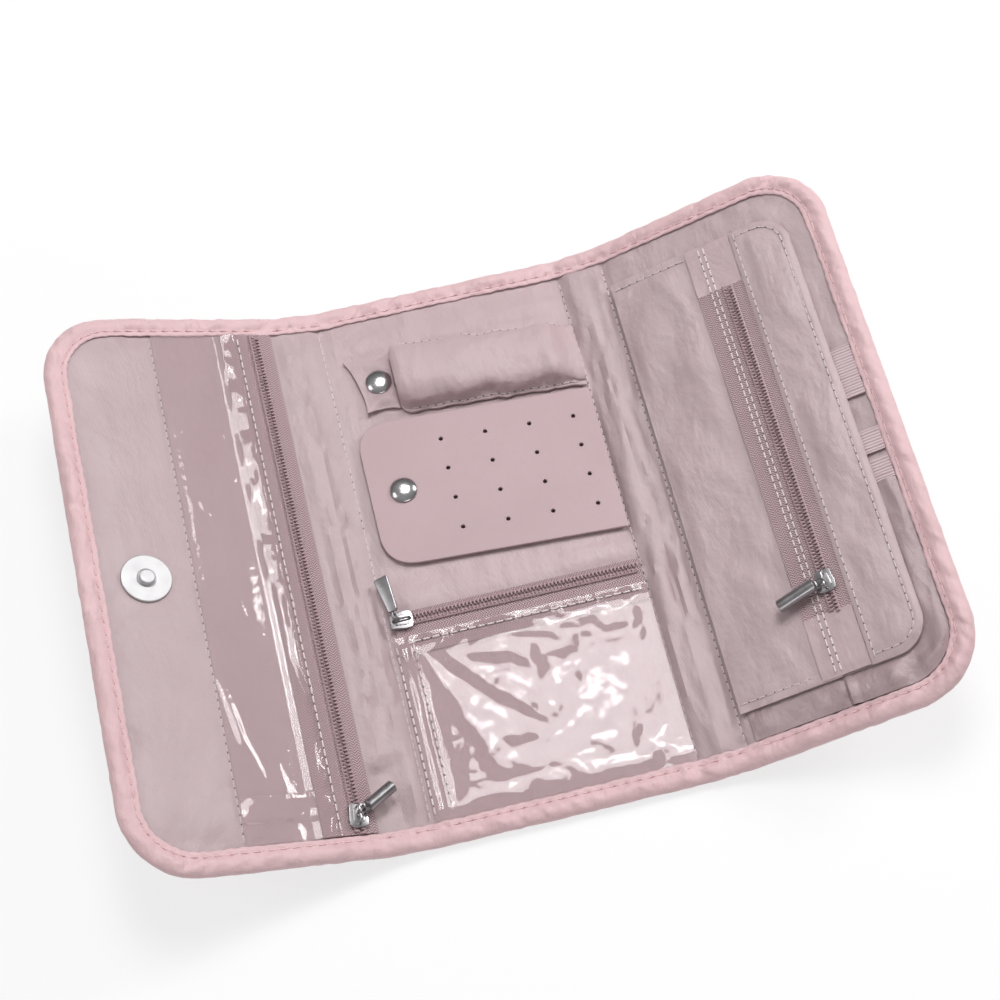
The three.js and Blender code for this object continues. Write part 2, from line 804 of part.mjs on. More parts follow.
const smallVinylTop = smallZipPlace - smallVinylLap;
const smallVinylDepth = smallVinylTop + fieldHalf;
const smallVinylMiddle = (leftSeam + smallVinylMargin + rightSeam - foldGap) / 2;
const smallVinylHalf = (rightSeam - foldGap - leftSeam - smallVinylMargin) / 2;
const smallVinylStep = smallTapeLowerWidth - smallVinylLap + slitHalf;
const smallVinyl = sheetSolid(
  spread(leftSeam + smallVinylMargin, rightSeam - foldGap, 8),
  [
    ...spread(smallVinylTop - smallVinylDepth, smallVinylTop - 2 * smallVinylStep, 6),
    ...spread(smallVinylTop - 1.5 * smallVinylStep, smallVinylTop, 3),
  ],
  vinylThickness,
  (x, y) => vinylHeight(
    smallVinylTop - y,
    smallVinylDepth,
    smallVinylStep,
    smallVinylCrown,
    (x - smallVinylMiddle) / smallVinylHalf,
  ),
);
addPiece(centre, "small_pocket_vinyl", smallVinyl, clearVinyl);

// Earring card
const cardLow = faceLevel + cardLift + layerGap;
const card = new THREE.Group();
card.position.set(rightSeam - cardHinge, cardPlace, cardLow);
centre.add(card);
const cardRun = Math.tan(THREE.MathUtils.degToRad(cardSlope));
const cardRise = (x) => -x * cardRun;
const cardShape = roundedOutline([
  { x: 0, y: -cardHeight / 2, radius: 0 },
  { x: 0, y: cardHeight / 2, radius: 0 },
  { x: -cardLength, y: cardHeight / 2 + cardRise(-cardLength), radius: cardCorner },
  { x: -cardLength, y: -cardHeight / 2 + cardRise(-cardLength), radius: cardCorner },
]);
for (let row = 0; row < cardHoleRows; row++) {
  for (let column = 0; column < cardHoleColumns; column++) {
    const x = -cardHoleInset - column * cardHolePitchX;
    const y = (row - (cardHoleRows - 1) / 2) * cardHolePitchY;
    circleHole(cardShape, x, y + cardRise(x), cardHoleRadius);
  }
}
const cardSnapX = cardSnapInset - cardLength;
circleHole(cardShape, cardSnapX, cardRise(cardSnapX), snapNeckRadius);
addPiece(card, "earring_card", plate(cardShape, 0, cardThickness), cardLeather);
const studLow = faceLevel + zipClearance;
const cardSnap = addPiece(card, "card_snap_cap", snapCap(0, cardThickness), polishedMetal);
cardSnap.position.set(cardSnapX, cardRise(cardSnapX), 0);
const cardStud = addPiece(centre, "card_snap_stud", snapStud(studLow, cardLow), polishedMetal);
cardStud.position.set(card.position.x + cardSnapX, card.position.y + cardRise(cardSnapX), 0);

// Ring roll: rings of a flat-bottomed cushion section along the tube
const ringRoll = new THREE.Group();
ringRoll.position.set(rightSeam - cardHinge, ringRollPlace, faceLevel + layerGap);
centre.add(ringRoll);
const ringRollRun = Math.tan(THREE.MathUtils.degToRad(ringRollSlope));
const ringRollRise = (x) => -x * ringRollRun;

// Shares of the tube's height and half width, and how square its shoulders are
const waistShare = 0.4;
const flatShare = 0.8;
const shoulderPower = 0.8;
const ringRollGatherShare = 0.97;

function ringRollSection(height, fullness) {
  const half = (ringRollWidth / 2) * fullness;
  const waist = height * waistShare;
  const outline = [];
  const steps = 12;
  for (let k = 0; k <= steps; k++) {
    const angle = Math.PI * (k / steps);
    const across = Math.sign(Math.cos(angle)) * Math.abs(Math.cos(angle)) ** shoulderPower;
    const up = Math.sin(angle) ** shoulderPower;
    outline.push(new THREE.Vector2(half * across, waist + (height - waist) * up));
  }
  outline.push(new THREE.Vector2(-half - ringRollWelt, 1.5 * ringRollWeltThickness));
  outline.push(new THREE.Vector2(-half - ringRollWelt, ringRollWeltThickness / 2));
  outline.push(new THREE.Vector2(-half * flatShare, 0));
  outline.push(new THREE.Vector2(half * flatShare, 0));
  return outline;
}

const ringRollStations = spread(-ringRollLength, 0, 20);
const ringRollRings = ringRollStations.map((x, k) => {
  const toSeam = ease(-x, 0, ringRollTaper);
  const toTab = ease(ringRollLength + x, -ringRollTaper / 2, ringRollTaper / 3);
  const sewnHeight = ringRollEndHeight + (ringRollHeight - ringRollEndHeight) * toSeam;
  const height = sewnHeight - (ringRollHeight - ringRollTabHeight) * (1 - toTab);
  const fullness = k % 3 === 1 ? ringRollGatherShare : 1;
  return ringRollSection(height, fullness).map((corner) =>
    new THREE.Vector3(x, corner.x + ringRollRise(x), corner.y));
});
const ringRollOutline = ringRollSection(ringRollHeight, 1);
addPiece(ringRoll, "ring_roll_cushion", ringSolid(ringRollRings, ringRollOutline), liningCloth);

const tabLow = cardLift;
const tabTop = tabLow + ringTabThickness;
const tabRight = -ringRollLength - layerGap;
const tabLeft = tabRight - ringTabLength;
const tabMiddle = ringRollRise(tabRight);
const tabShape = roundedOutline([
  { x: tabRight, y: tabMiddle - ringTabWidth / 2, radius: 0 },
  { x: tabRight, y: tabMiddle + ringTabWidth / 2, radius: 0 },
  { x: tabLeft - ringTabSkew / 2, y: tabMiddle + ringTabWidth / 2, radius: ringTabThickness },
  { x: tabLeft + ringTabSkew / 2, y: tabMiddle - ringTabWidth / 2, radius: ringTabThickness },
]);
const tabSnapX = tabRight - ringTabSnapInset;
circleHole(tabShape, tabSnapX, tabMiddle, snapNeckRadius);
addPiece(ringRoll, "ring_roll_tab", plate(tabShape, tabLow, tabTop), liningCloth);
const tabSnap = addPiece(ringRoll, "ring_roll_snap_cap", snapCap(tabLow, tabTop), polishedMetal);
tabSnap.position.set(tabSnapX, tabMiddle, 0);
const tabStud = addPiece(centre, "ring_roll_snap_stud", snapStud(studLow, ringRoll.position.z + tabLow),
  polishedMetal);
tabStud.position.set(ringRoll.position.x + tabSnapX, ringRoll.position.y + tabMiddle, 0);

// Left fold: band, then flap
const leftAxis = faceLevel + leftFoldRise;
const leftBand = foldGroup(centre, leftSeam, leftAxis, leftBandAngle);
addBand(leftBand, "left_band", leftCrease, leftSeam);
const leftFlap = foldGroup(leftBand, leftCrease, leftAxis, leftFlapAngle);
addPanelLayers(leftFlap, "left_flap", (inset) => flapOutline(leftCrease, leftEnd, inset));
const leftBinding = sweepSection(bindingSection(), flapEdge(leftCrease, leftEnd));
addPiece(leftFlap, "left_flap_binding", leftBinding, bindingCloth);

// Long vinyl pocket with its zip
const longZipPlace = leftCrease - longTapeMargin - longTapeInnerWidth - slitHalf;
const longZip = new THREE.Group();
longZip.position.set(longZipPlace, 0, faceLevel);
leftFlap.add(longZip);
addZip(longZip, "long_zip", {
  leftName: "outer",
  rightName: "inner",
  leftWidth: longTapeOuterWidth,
  rightWidth: longTapeInnerWidth,
  low: -fieldHalf,
  high: fieldHalf,
  base: tapeStandoff,
  rodLevel: longRodLevel,
  slider: longSliderEndGap - fieldHalf,
  sliderTurned: true,
  pullSlip: 0,
  pull: barrelPull(tapeStandoff + longRodLevel, -longPullTurn, longPullLength, longPullRadius),
});
const longVinylRight = longZipPlace - (longTapeOuterWidth + slitHalf - longVinylLap);
const longVinyl = sheetSolid(
  spread(longVinylRight - longVinylReach + longVinylLap, longVinylRight, 10),
  spread(-fieldHalf, fieldHalf, 8),
  vinylThickness,
  (x, y) => vinylHeight(
    longVinylRight - x,
    longVinylReach - longVinylLap,
    longVinylLap,
    vinylCrown,
    y / fieldHalf,
  ),
);
addPiece(leftFlap, "long_pocket_vinyl", longVinyl, clearVinyl);

// Magnetic fastener: post half on the left flap's lining
const magnetPost = addPiece(leftFlap, "magnet_post_half", magnetPostHalf(studLow), polishedMetal);
magnetPost.position.set(leftCrease - magnetPlace, 0, 0);

// Right fold: band, then flap
const rightAxis = faceLevel + rightFoldRise;
const rightBand = foldGroup(centre, rightSeam, rightAxis, -rightBandAngle);
addBand(rightBand, "right_band", rightSeam, rightCrease);
const rightFlap = foldGroup(rightBand, rightCrease, rightAxis, -rightFlapAngle);
addPanelLayers(rightFlap, "right_flap", (inset) => flapOutline(rightCrease, rightEnd, inset));
const rightBinding = sweepSection(bindingSection(), flapEdge(rightCrease, rightEnd));
addPiece(rightFlap, "right_flap_binding", rightBinding, bindingCloth);

// Socket half, on the right flap's cover where the post half comes down on it
const closedLean = Math.sin(THREE.MathUtils.degToRad(closedAngle));
const closedMagnetGap = closedFlapGap - coverLow - (magnetPlace + magnetRadius) * closedLean;
const socketThickness = closedMagnetGap - zipClearance - magnetPlate - magnetRimHeight - 2 * layerGap;
const magnetSocket = addPiece(rightFlap, "magnet_socket_half", magnetSocketHalf(socketThickness),
  polishedMetal);
magnetSocket.rotation.x = Math.PI;
magnetSocket.position.set(rightCrease + centreWidth - magnetPlace, 0, -layerGap);

// Necklace keepers and pocket
const keeperLeft = rightCrease + keeperMargin;
const keeperRight = rightEnd - padInset;
const keeperLow = faceLevel + layerGap;
function addElastic(name, place, width) {
  const outline = rectangle(keeperLeft, keeperRight, place - width / 2, place + width / 2);
  addPiece(rightFlap, name, plate(outline, keeperLow, keeperLow + elasticThickness), elasticCloth);
}
addElastic("necklace_elastic_upper", upperElasticPlace, upperElasticWidth);
addElastic("necklace_elastic_lower", lowerElasticPlace, lowerElasticWidth);
addElastic("necklace_pocket_elastic", mouthElasticPlace, mouthElasticWidth);
const pocketTop = mouthElasticPlace - mouthElasticWidth / 2 - layerGap;
const gapeFrom = keeperRight - pocketGapeWidth;
const gapeMiddle = keeperRight - pocketGapeWidth / 3;
const pocketColumns = [keeperLeft, (keeperLeft + gapeFrom) / 2, gapeFrom, gapeMiddle, keeperRight];
const pocket = sheetSolid(
  pocketColumns,
  spread(-fieldHalf, pocketTop, 8),
  pocketClothThickness,
  (x, y) => {
    const along = (pocketTop - y) / (pocketTop + fieldHalf);
    const bulge = Math.sin(Math.PI * Math.min(1, 2 * along));
    return keeperLow + (x === gapeMiddle ? pocketGape * bulge : 0);
  },
);
const field = flapOutline(rightCrease, rightEnd, padInset);
addPiece(rightFlap, "necklace_pocket", trim(pocket, field), liningCloth);

// Page: back and two front pieces with the zip between them
const page = new THREE.Group();
page.position.set(rightCrease + pageHingeGap, -pageDrop, faceLevel + pageRise);
rightFlap.add(page);
const pageHalf = pageHeight / 2;
const pageOutline = (from, to) => {
  const corner = to < pageWidth ? 0 : pageCorner;
  return roundedOutline([
    { x: from, y: -pageHalf, radius: 0 },
    { x: to, y: -pageHalf, radius: corner },
    { x: to, y: pageHalf, radius: corner },
    { x: from, y: pageHalf, radius: 0 },
  ]);
};
addPiece(page, "page_back", plate(pageOutline(0, pageWidth), 0, pageClothThickness), liningCloth);
const wideTo = pageZipPlace - pageStitchInset;
const frontTop = pageFrontLow + pageClothThickness;
addPiece(page, "page_front_wide", plate(pageOutline(0, wideTo), pageFrontLow, frontTop), liningCloth);
const facingLow = pageTapeLow + tapeThickness + layerGap;
const narrowFrom = pageZipPlace + pageFacingGap;
addPiece(
  page,
  "page_front_narrow",
  plate(pageOutline(narrowFrom, pageWidth), facingLow, facingLow + pageClothThickness),
  liningCloth,
);
const pageZip = new THREE.Group();
pageZip.position.set(pageZipPlace, 0, 0);
page.add(pageZip);
const pageZipLow = pageZipBottomGap - pageHalf;
const pageZipHigh = pageHalf - pageZipTopGap;
addZip(pageZip, "page_zip", {
  leftName: "wide",
  rightName: "narrow",
  leftWidth: pageTapeWidth - slitHalf,
  rightWidth: pageTapeWidth - slitHalf,
  low: pageZipLow,
  high: pageZipHigh,
  base: pageTapeLow,
  rodLevel: pageRodLevel,
  slider: pageSliderRest - pageHalf,
  sliderTurned: true,
  pullSlip: 0,
  pull: barrelPull(pageTapeLow + pageRodLevel, pagePullTurn, pagePullLength, pagePullRadius),
});
const endTabLeft = pageZipPlace - pageTapeWidth;
const endTabRight = narrowFrom - layerGap;
function addEndTab(name, from, to) {
  const outline = rectangle(endTabLeft, endTabRight, from, to);
  addPiece(page, name, plate(outline, pageTapeLow, pageTapeLow + pageTabThickness), liningCloth);
}
addEndTab("page_zip_end_top", pageZipHigh + layerGap, pageHalf);
addEndTab("page_zip_end_bottom", -pageHalf, pageZipLow - layerGap);

// The origin lies under the middle of the opened roll
const bounds = new THREE.Box3().setFromObject(roll, true);
const middle = bounds.getCenter(new THREE.Vector3());
roll.position.set(-middle.x, -middle.y, -bounds.min.z);

export default roll;
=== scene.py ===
# %% [markdown]
# # A folding jewelry roll
# This lesson dresses a plain model of a fabric jewelry roll: padded satin panels with a puffed
# binding, zips with fine coils, clear pockets, a ring roll, an earring card and a turning page.
# The plain model comes in as a fixed frame. Every piece made here sits on it, and most ride on its
# bodies and move with them.

# %% Start
import json
import math
import bpy
import bmesh
import numpy as np
from mathutils import Matrix, Vector


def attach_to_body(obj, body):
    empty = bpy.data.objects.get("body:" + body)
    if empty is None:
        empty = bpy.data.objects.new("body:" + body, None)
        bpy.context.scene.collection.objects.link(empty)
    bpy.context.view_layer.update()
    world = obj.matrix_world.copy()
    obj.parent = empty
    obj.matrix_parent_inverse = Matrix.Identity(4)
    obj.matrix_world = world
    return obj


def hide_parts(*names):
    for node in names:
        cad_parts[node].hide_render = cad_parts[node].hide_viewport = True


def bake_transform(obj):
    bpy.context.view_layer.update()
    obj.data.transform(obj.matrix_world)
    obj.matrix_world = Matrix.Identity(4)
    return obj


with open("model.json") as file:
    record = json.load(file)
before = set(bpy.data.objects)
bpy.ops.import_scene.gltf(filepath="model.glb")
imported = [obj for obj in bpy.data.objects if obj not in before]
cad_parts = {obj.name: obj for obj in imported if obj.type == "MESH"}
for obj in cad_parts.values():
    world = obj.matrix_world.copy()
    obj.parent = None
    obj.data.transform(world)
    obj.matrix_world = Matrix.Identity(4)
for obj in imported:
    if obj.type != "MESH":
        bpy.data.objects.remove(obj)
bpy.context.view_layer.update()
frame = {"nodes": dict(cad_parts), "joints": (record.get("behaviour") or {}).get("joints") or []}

# %% [markdown]
# The camera comes first. The real photograph was taken from the front, steeply above the opened
# roll. Its place and lens were fitted to points picked along the straight edges and seams of the
# photograph, so the rendered seams fall close to where the photographed ones do.

# %% Camera
MM = 0.001
CAMERA_PLACE_MM = (-50.33, -317.0, 700.7)
LOOKING = Vector((0.07104, 0.42730, -0.90131))
RIGHTWARD = Vector((0.97232, -0.23131, -0.03303))
LENS_MM = 76.75

lens = bpy.data.cameras.new("table_camera")
lens.lens = LENS_MM
lens.sensor_width = 36.0
lens.clip_start = 0.01
camera = bpy.data.objects.new("table_camera", lens)
bpy.context.scene.collection.objects.link(camera)
looking = LOOKING.normalized()
upward = RIGHTWARD.cross(looking).normalized()
rightward = looking.cross(upward).normalized()
turn = Matrix((rightward, upward, -looking)).transposed().to_4x4()
camera.matrix_world = Matrix.Translation(Vector(CAMERA_PLACE_MM) * MM) @ turn
bpy.context.scene.camera = camera
bpy.context.scene.view_settings.view_transform = "Standard"
print("camera lens", LENS_MM, "mm")

# %% [markdown]
# Every size below is in millimetres on the roll laid out flat, with x across the folds and y along
# them. The frame's joints say where the folds' axes are and how far each flap stands up in the
# photograph. Only the places of seams, creases and ends along the cloth are written here.

# %% The flat layout
joint = {j["name"]: j for j in frame["joints"]}


def hinge(name):
    """A fold's place in the frame: x and z in millimetres."""
    x, _, z = joint[name]["pos_m"]
    return x / MM, z / MM


HALF_LENGTH = 107.5
CORNER = 26.0
FACE = 3.7
BINDING_WIDTH = 8.0
LEFT_SEAM, RIGHT_SEAM = -46.4, 46.4
LEFT_CREASE, RIGHT_CREASE = -62.4, 63.1
LEFT_END, RIGHT_END = -150.3, 149.7
LEFT_ANGLES = (-joint["left_band_fold"]["range_deg"][0], -joint["left_flap_fold"]["range_deg"][0])
RIGHT_ANGLES = (-joint["right_band_fold"]["range_deg"][0], -joint["right_flap_fold"]["range_deg"][0])
LEFT_REACH, RIGHT_REACH = 4.0, 3.0
seam_x, LEFT_AXIS = hinge("left_band_fold")
SHIFT = seam_x - LEFT_SEAM
RIGHT_AXIS = hinge("right_band_fold")[1]
print("flat sizes shift by", round(SHIFT, 3), "mm; fold axes at", LEFT_AXIS, RIGHT_AXIS)

# %% [markdown]
# Cloth doesn't break sharply at a seam: it turns over a few millimetres. This function lifts flat
# points to their place in the opened roll. A point past a fold is turned about the fold's axis,
# and close to the fold it is turned partly, by the same smooth share that the frame uses when
# the fold moves later. A rigid piece gives its body's name instead and is turned as a whole.

# %% Folding
SIDES = {
    "left": (-1, LEFT_SEAM, LEFT_CREASE, LEFT_AXIS, LEFT_ANGLES, LEFT_REACH),
    "right": (1, RIGHT_SEAM, RIGHT_CREASE, RIGHT_AXIS, RIGHT_ANGLES, RIGHT_REACH),
}
ON_BAND = {"left_band": "left", "right_band": "right"}
ON_FLAP = {"left_flap": "left", "long_zip_slider": "left", "long_zip_pull": "left",
           "right_flap": "right", "page": "right", "page_zip_slider": "right", "page_zip_pull": "right"}


def smooth(value, low=0.0, high=1.0):
    """A slow rise from 0 to 1 between two places."""
    share = np.clip((value - low) / (high - low), 0, 1)
    return share * share * (3 - 2 * share)


def turned(points, x, z, degrees):
    """Points turned about a line along y through x, z by an angle for each point."""
    angle = np.radians(degrees)
    dx, dz = points[..., 0] - x, points[..., 2] - z
    moved = points.copy()
    moved[..., 0] = x + dx * np.cos(angle) + dz * np.sin(angle)
    moved[..., 2] = z - dx * np.sin(angle) + dz * np.cos(angle)
    return moved


def fold(points, body=None):
    """Flat points in millimetres to their rest place in the opened roll, in millimetres."""
    placed = np.array(points, float)
    flat_x = placed[..., 0].copy()
    for side, (way, seam, crease, axis, angles, reach) in SIDES.items():
        if body is None:
            past_seam = smooth(way * (flat_x - seam), -reach, reach)
            past_crease = smooth(way * (flat_x - crease), -reach, reach)
        else:
            past_crease = float(ON_FLAP.get(body) == side)
            past_seam = max(past_crease, float(ON_BAND.get(body) == side))
        placed = turned(placed, crease, axis, -way * angles[1] * past_crease)
        placed = turned(placed, seam, axis, -way * angles[0] * past_seam)
    placed[..., 0] += SHIFT
    return placed


print("flap ends lie at", fold([[LEFT_END, 0, 0], [RIGHT_END, 0, 0]]).round(1).tolist())

# %% [markdown]
# Meshes are made from arrays of points. A mesh here is a list of points and a list of faces, so
# small ones, such as stitches, can be joined into one piece before Blender sees them. Blender
# then turns all faces outward, and edges sharper than an ordinary bend stay crisp. Most pieces
# are drawn at the origin, set at a flat place, and lifted with the body that they ride on.

# %% Mesh helpers
CRISP_DEGREES = 42


def piece(name, shape, material, crisp=CRISP_DEGREES):
    """A Blender object from (points in millimetres, faces)."""
    points, faces = shape
    mesh = bpy.data.meshes.new(name)
    mesh.from_pydata((np.asarray(points, float).reshape(-1, 3) * MM).tolist(), [], faces)
    work = bmesh.new()
    work.from_mesh(mesh)
    bmesh.ops.recalc_face_normals(work, faces=work.faces)
    work.to_mesh(mesh)
    work.free()
    mesh.shade_smooth()
    mesh.set_sharp_from_angle(angle=math.radians(crisp))
    mesh.materials.append(material)
    made = bpy.data.objects.new(name, mesh)
    bpy.context.scene.collection.objects.link(made)
    return made


def placed(shape, x, y, z, degrees=0.0):
    """A shape turned on the table and moved."""
    points, faces = shape
    points = np.asarray(points, float).reshape(-1, 3)
    c, s = math.cos(math.radians(degrees)), math.sin(math.radians(degrees))
    moved = np.stack([x + points[:, 0] * c - points[:, 1] * s,
                      y + points[:, 0] * s + points[:, 1] * c, z + points[:, 2]], axis=1)
    return moved, faces


def folded(shape, body=None):
    """A flat shape lifted to its place in the opened roll."""
    return fold(shape[0], body), shape[1]


def mounted(body, name, shape, material, node, slot, place=(0, 0, 0), degrees=0.0,
            crisp=CRISP_DEGREES):
    """A piece at its flat place, lifted with its body, riding on it and standing for its node."""
    made = piece(name, folded(placed(shape, *place, degrees), body), material, crisp)
    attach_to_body(made, body)
    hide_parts(node)
    return made


def joined(shapes):
    """Several (points, faces) as one."""
    points, faces, count = [], [], 0
    for some_points, some_faces in shapes:
        some_points = np.asarray(some_points, float).reshape(-1, 3)
        points.append(some_points)
        faces += [[corner + count for corner in face] for face in some_faces]
        count += len(some_points)
    return np.concatenate(points), faces


def grid_faces(rows, columns, start=0, around=False):
    """Quads over a grid of points; around closes each row into a ring."""
    index = start + np.arange(rows * columns).reshape(rows, columns)
    if around:
        index = np.concatenate([index, index[:, :1]], axis=1)
    quads = np.stack([index[:-1, :-1], index[1:, :-1], index[1:, 1:], index[:-1, 1:]], axis=-1)
    return quads.reshape(-1, 4).tolist()


def slab(top, bottom):
    """A closed sheet between two grids of points of the same shape."""
    rows, columns = top.shape[:2]
    count = rows * columns
    index = np.arange(count).reshape(rows, columns)
    rim = np.concatenate([index[0, :-1], index[:-1, -1], index[-1, :0:-1], index[:0:-1, 0]])
    after = np.roll(rim, -1)
    faces = grid_faces(rows, columns) + grid_faces(rows, columns, count)
    faces += np.stack([rim, after, after + count, rim + count], axis=-1).tolist()
    return np.concatenate([top.reshape(-1, 3), bottom.reshape(-1, 3)]), faces


def stacked(x, y, z):
    """Three grids or lines as points; a single number serves all of them."""
    return np.stack(np.broadcast_arrays(x, y, z), axis=-1)


def layer(x, y, bottom, top):
    """A closed sheet over a flat grid, between two heights."""
    return slab(stacked(x, y, top), stacked(x, y, bottom))


def loft(rings, capped=True):
    """A closed skin over rings of points, with its two ends closed."""
    rings = np.asarray(rings, float)
    rows, columns = rings.shape[:2]
    faces = grid_faces(rows, columns, 0, True)
    if capped:
        faces.append(list(range(columns)))
        faces.append(list(range((rows - 1) * columns, rows * columns)))
    return rings.reshape(-1, 3), faces


def tube(path, radius, upward=(0, 0, 1), sides=8):
    """A round rod along a path, with one radius or one for each point."""
    path = np.asarray(path, float)
    radius = np.broadcast_to(np.asarray(radius, float), (len(path),))
    along = np.gradient(path, axis=0)
    along /= np.linalg.norm(along, axis=1, keepdims=True)
    across = np.cross(along, np.broadcast_to(np.asarray(upward, float), path.shape))
    across /= np.linalg.norm(across, axis=1, keepdims=True)
    over = np.cross(across, along)
    angle = np.linspace(0, 2 * math.pi, sides, endpoint=False)
    ring = np.cos(angle)[None, :, None] * across[:, None] + np.sin(angle)[None, :, None] * over[:, None]
    return loft(path[:, None] + ring * radius[:, None, None])


def lathe(profile, sides=48):
    """A turned solid from (radius, height) points that start and end on the axis."""
    profile = np.asarray(profile, float)
    angle = np.linspace(0, 2 * math.pi, sides, endpoint=False)
    rings = np.stack([
        profile[1:-1, None, 0] * np.cos(angle),
        profile[1:-1, None, 0] * np.sin(angle),
        np.broadcast_to(profile[1:-1, None, 1], (len(profile) - 2, sides)),
    ], axis=-1)
    points, faces = loft(rings, capped=False)
    count = len(points)
    last = count - sides
    for k in range(sides):
        after = (k + 1) % sides
        faces.append([count, after, k])
        faces.append([count + 1, last + k, last + after])
    ends = [[0, 0, profile[0, 1]], [0, 0, profile[-1, 1]]]
    return np.concatenate([points, ends]), faces


def curve_through(corners, steps=6, closed=False):
    """A smooth line through a few points (Catmull-Rom)."""
    corners = np.asarray(corners, float)
    if closed:
        padded = np.concatenate([corners[-1:], corners, corners[:2]])
    else:
        first, last = 2 * corners[:1] - corners[1:2], 2 * corners[-1:] - corners[-2:-1]
        padded = np.concatenate([first, corners, last])
    share = np.linspace(0, 1, steps, endpoint=False)[:, None]
    line = []
    for a, b, c, d in zip(padded, padded[1:], padded[2:], padded[3:]):
        line.append(0.5 * (2 * b + (c - a) * share + (2 * a - 5 * b + 4 * c - d) * share ** 2
                           + (3 * b - a - 3 * c + d) * share ** 3))
    if not closed:
        line.append(corners[-1:])
    return np.concatenate(line)


def ripple(x, y, seed):
    """Smooth random waves between -1 and 1, about one to a unit."""
    table = np.random.default_rng(seed).uniform(-1, 1, (64, 64))
    x, y = np.broadcast_arrays(np.asarray(x, float), np.asarray(y, float))
    left, low = np.floor(x).astype(int), np.floor(y).astype(int)
    across, up = smooth(x - left), smooth(y - low)
    left, right, low, high = left % 64, (left + 1) % 64, low % 64, (low + 1) % 64
    under = table[left, low] * (1 - across) + table[right, low] * across
    over = table[left, high] * (1 - across) + table[right, high] * across
    return under * (1 - up) + over * up


def spread(low, high, step):
    """Even places from low to high, about a step apart."""
    return np.linspace(low, high, max(2, int(round(abs(high - low) / step)) + 1))


def hump(distance, width):
    """1 in the middle, falling to 0 on both sides like a bell."""
    return np.exp(-(distance / width) ** 2)


print("mesh helpers ready")

# %% [markdown]
# Colours are written as sRGB hex values, as a paint card gives them, and one function turns them
# to the linear numbers that Blender's shaders expect. One small function adds a shader node with
# its settings and links, and another feeds the finished shader, so that each finish below reads
# as a list of what it is made of.

# %% Colour and node helpers


def colour(code):
    """An sRGB hex value as linear red, green, blue and alpha."""
    values = [int(code[k:k + 2], 16) / 255 for k in (1, 3, 5)]
    return [v / 12.92 if v <= 0.04045 else ((v + 0.055) / 1.055) ** 2.4 for v in values] + [1.0]


def add(tree, kind, inputs=None, **settings):
    """A shader node with its settings; each input is a value, a node or a node's output."""
    made = tree.nodes.new("ShaderNode" + kind)
    for name, value in settings.items():
        setattr(made, name, value)
    for socket, value in (inputs or {}).items():
        value = value.outputs[0] if isinstance(value, bpy.types.Node) else value
        if isinstance(value, bpy.types.NodeSocket):
            tree.links.new(value, made.inputs[socket])
        else:
            made.inputs[socket].default_value = value
    return made


def finish_of(name, **values):
    """A new material with one plain shader: (material, node tree, shader, place on the object)."""
    material = bpy.data.materials.new(name)
    material.use_nodes = True
    tree = material.node_tree
    shader = tree.nodes["Principled BSDF"]
    for socket, value in values.items():
        shader.inputs[socket.replace("_", " ")].default_value = value
    return material, tree, shader, add(tree, "TexCoord").outputs["Object"]


def connect(shader, **inputs):
    """Feeds a shader's inputs from nodes or their outputs."""
    for socket, value in inputs.items():
        value = value.outputs[0] if isinstance(value, bpy.types.Node) else value
        shader.id_data.links.new(value, shader.inputs[socket.replace("_", " ")])


PER_METRE = 1000.0
WAVE_SHARE = 2 * math.pi / 20


def scale_for(size_mm, wave=False):
    """A pattern's scale for features of that size; the wave node counts in its own measure."""
    return PER_METRE / size_mm * (WAVE_SHARE if wave else 1)


def tinted(tree, where, low, high, size_mm):
    """A colour that drifts between two shades over patches of that size."""
    patches = add(tree, "TexNoise", {"Vector": where, "Scale": scale_for(size_mm), "Detail": 3.0})
    return add(tree, "Mix", {0: patches, 6: colour(low), 7: colour(high)}, data_type="RGBA").outputs[2]


print("binding pink in linear values:", [round(v, 3) for v in colour("#EBC3C8")[:3]])

# %% [markdown]
# The lining is satin-faced nylon: long floats of shiny thread on a plain ground. That gives soft
# highlights that stretch along the folds, a slight drift of colour and, close up, a fine grain whose
# low places are darkened as painted shade.
# Real threads lie about 0.12 mm apart, finer than a pixel, so the weave is drawn at 0.45 mm.
# The same recipe with other shades and numbers makes the cover and the binding's taffeta.

# %% Woven finishes
THREAD_MM = 0.45
CRINKLE_MM = 9.0
CREASE_MM = 17.0


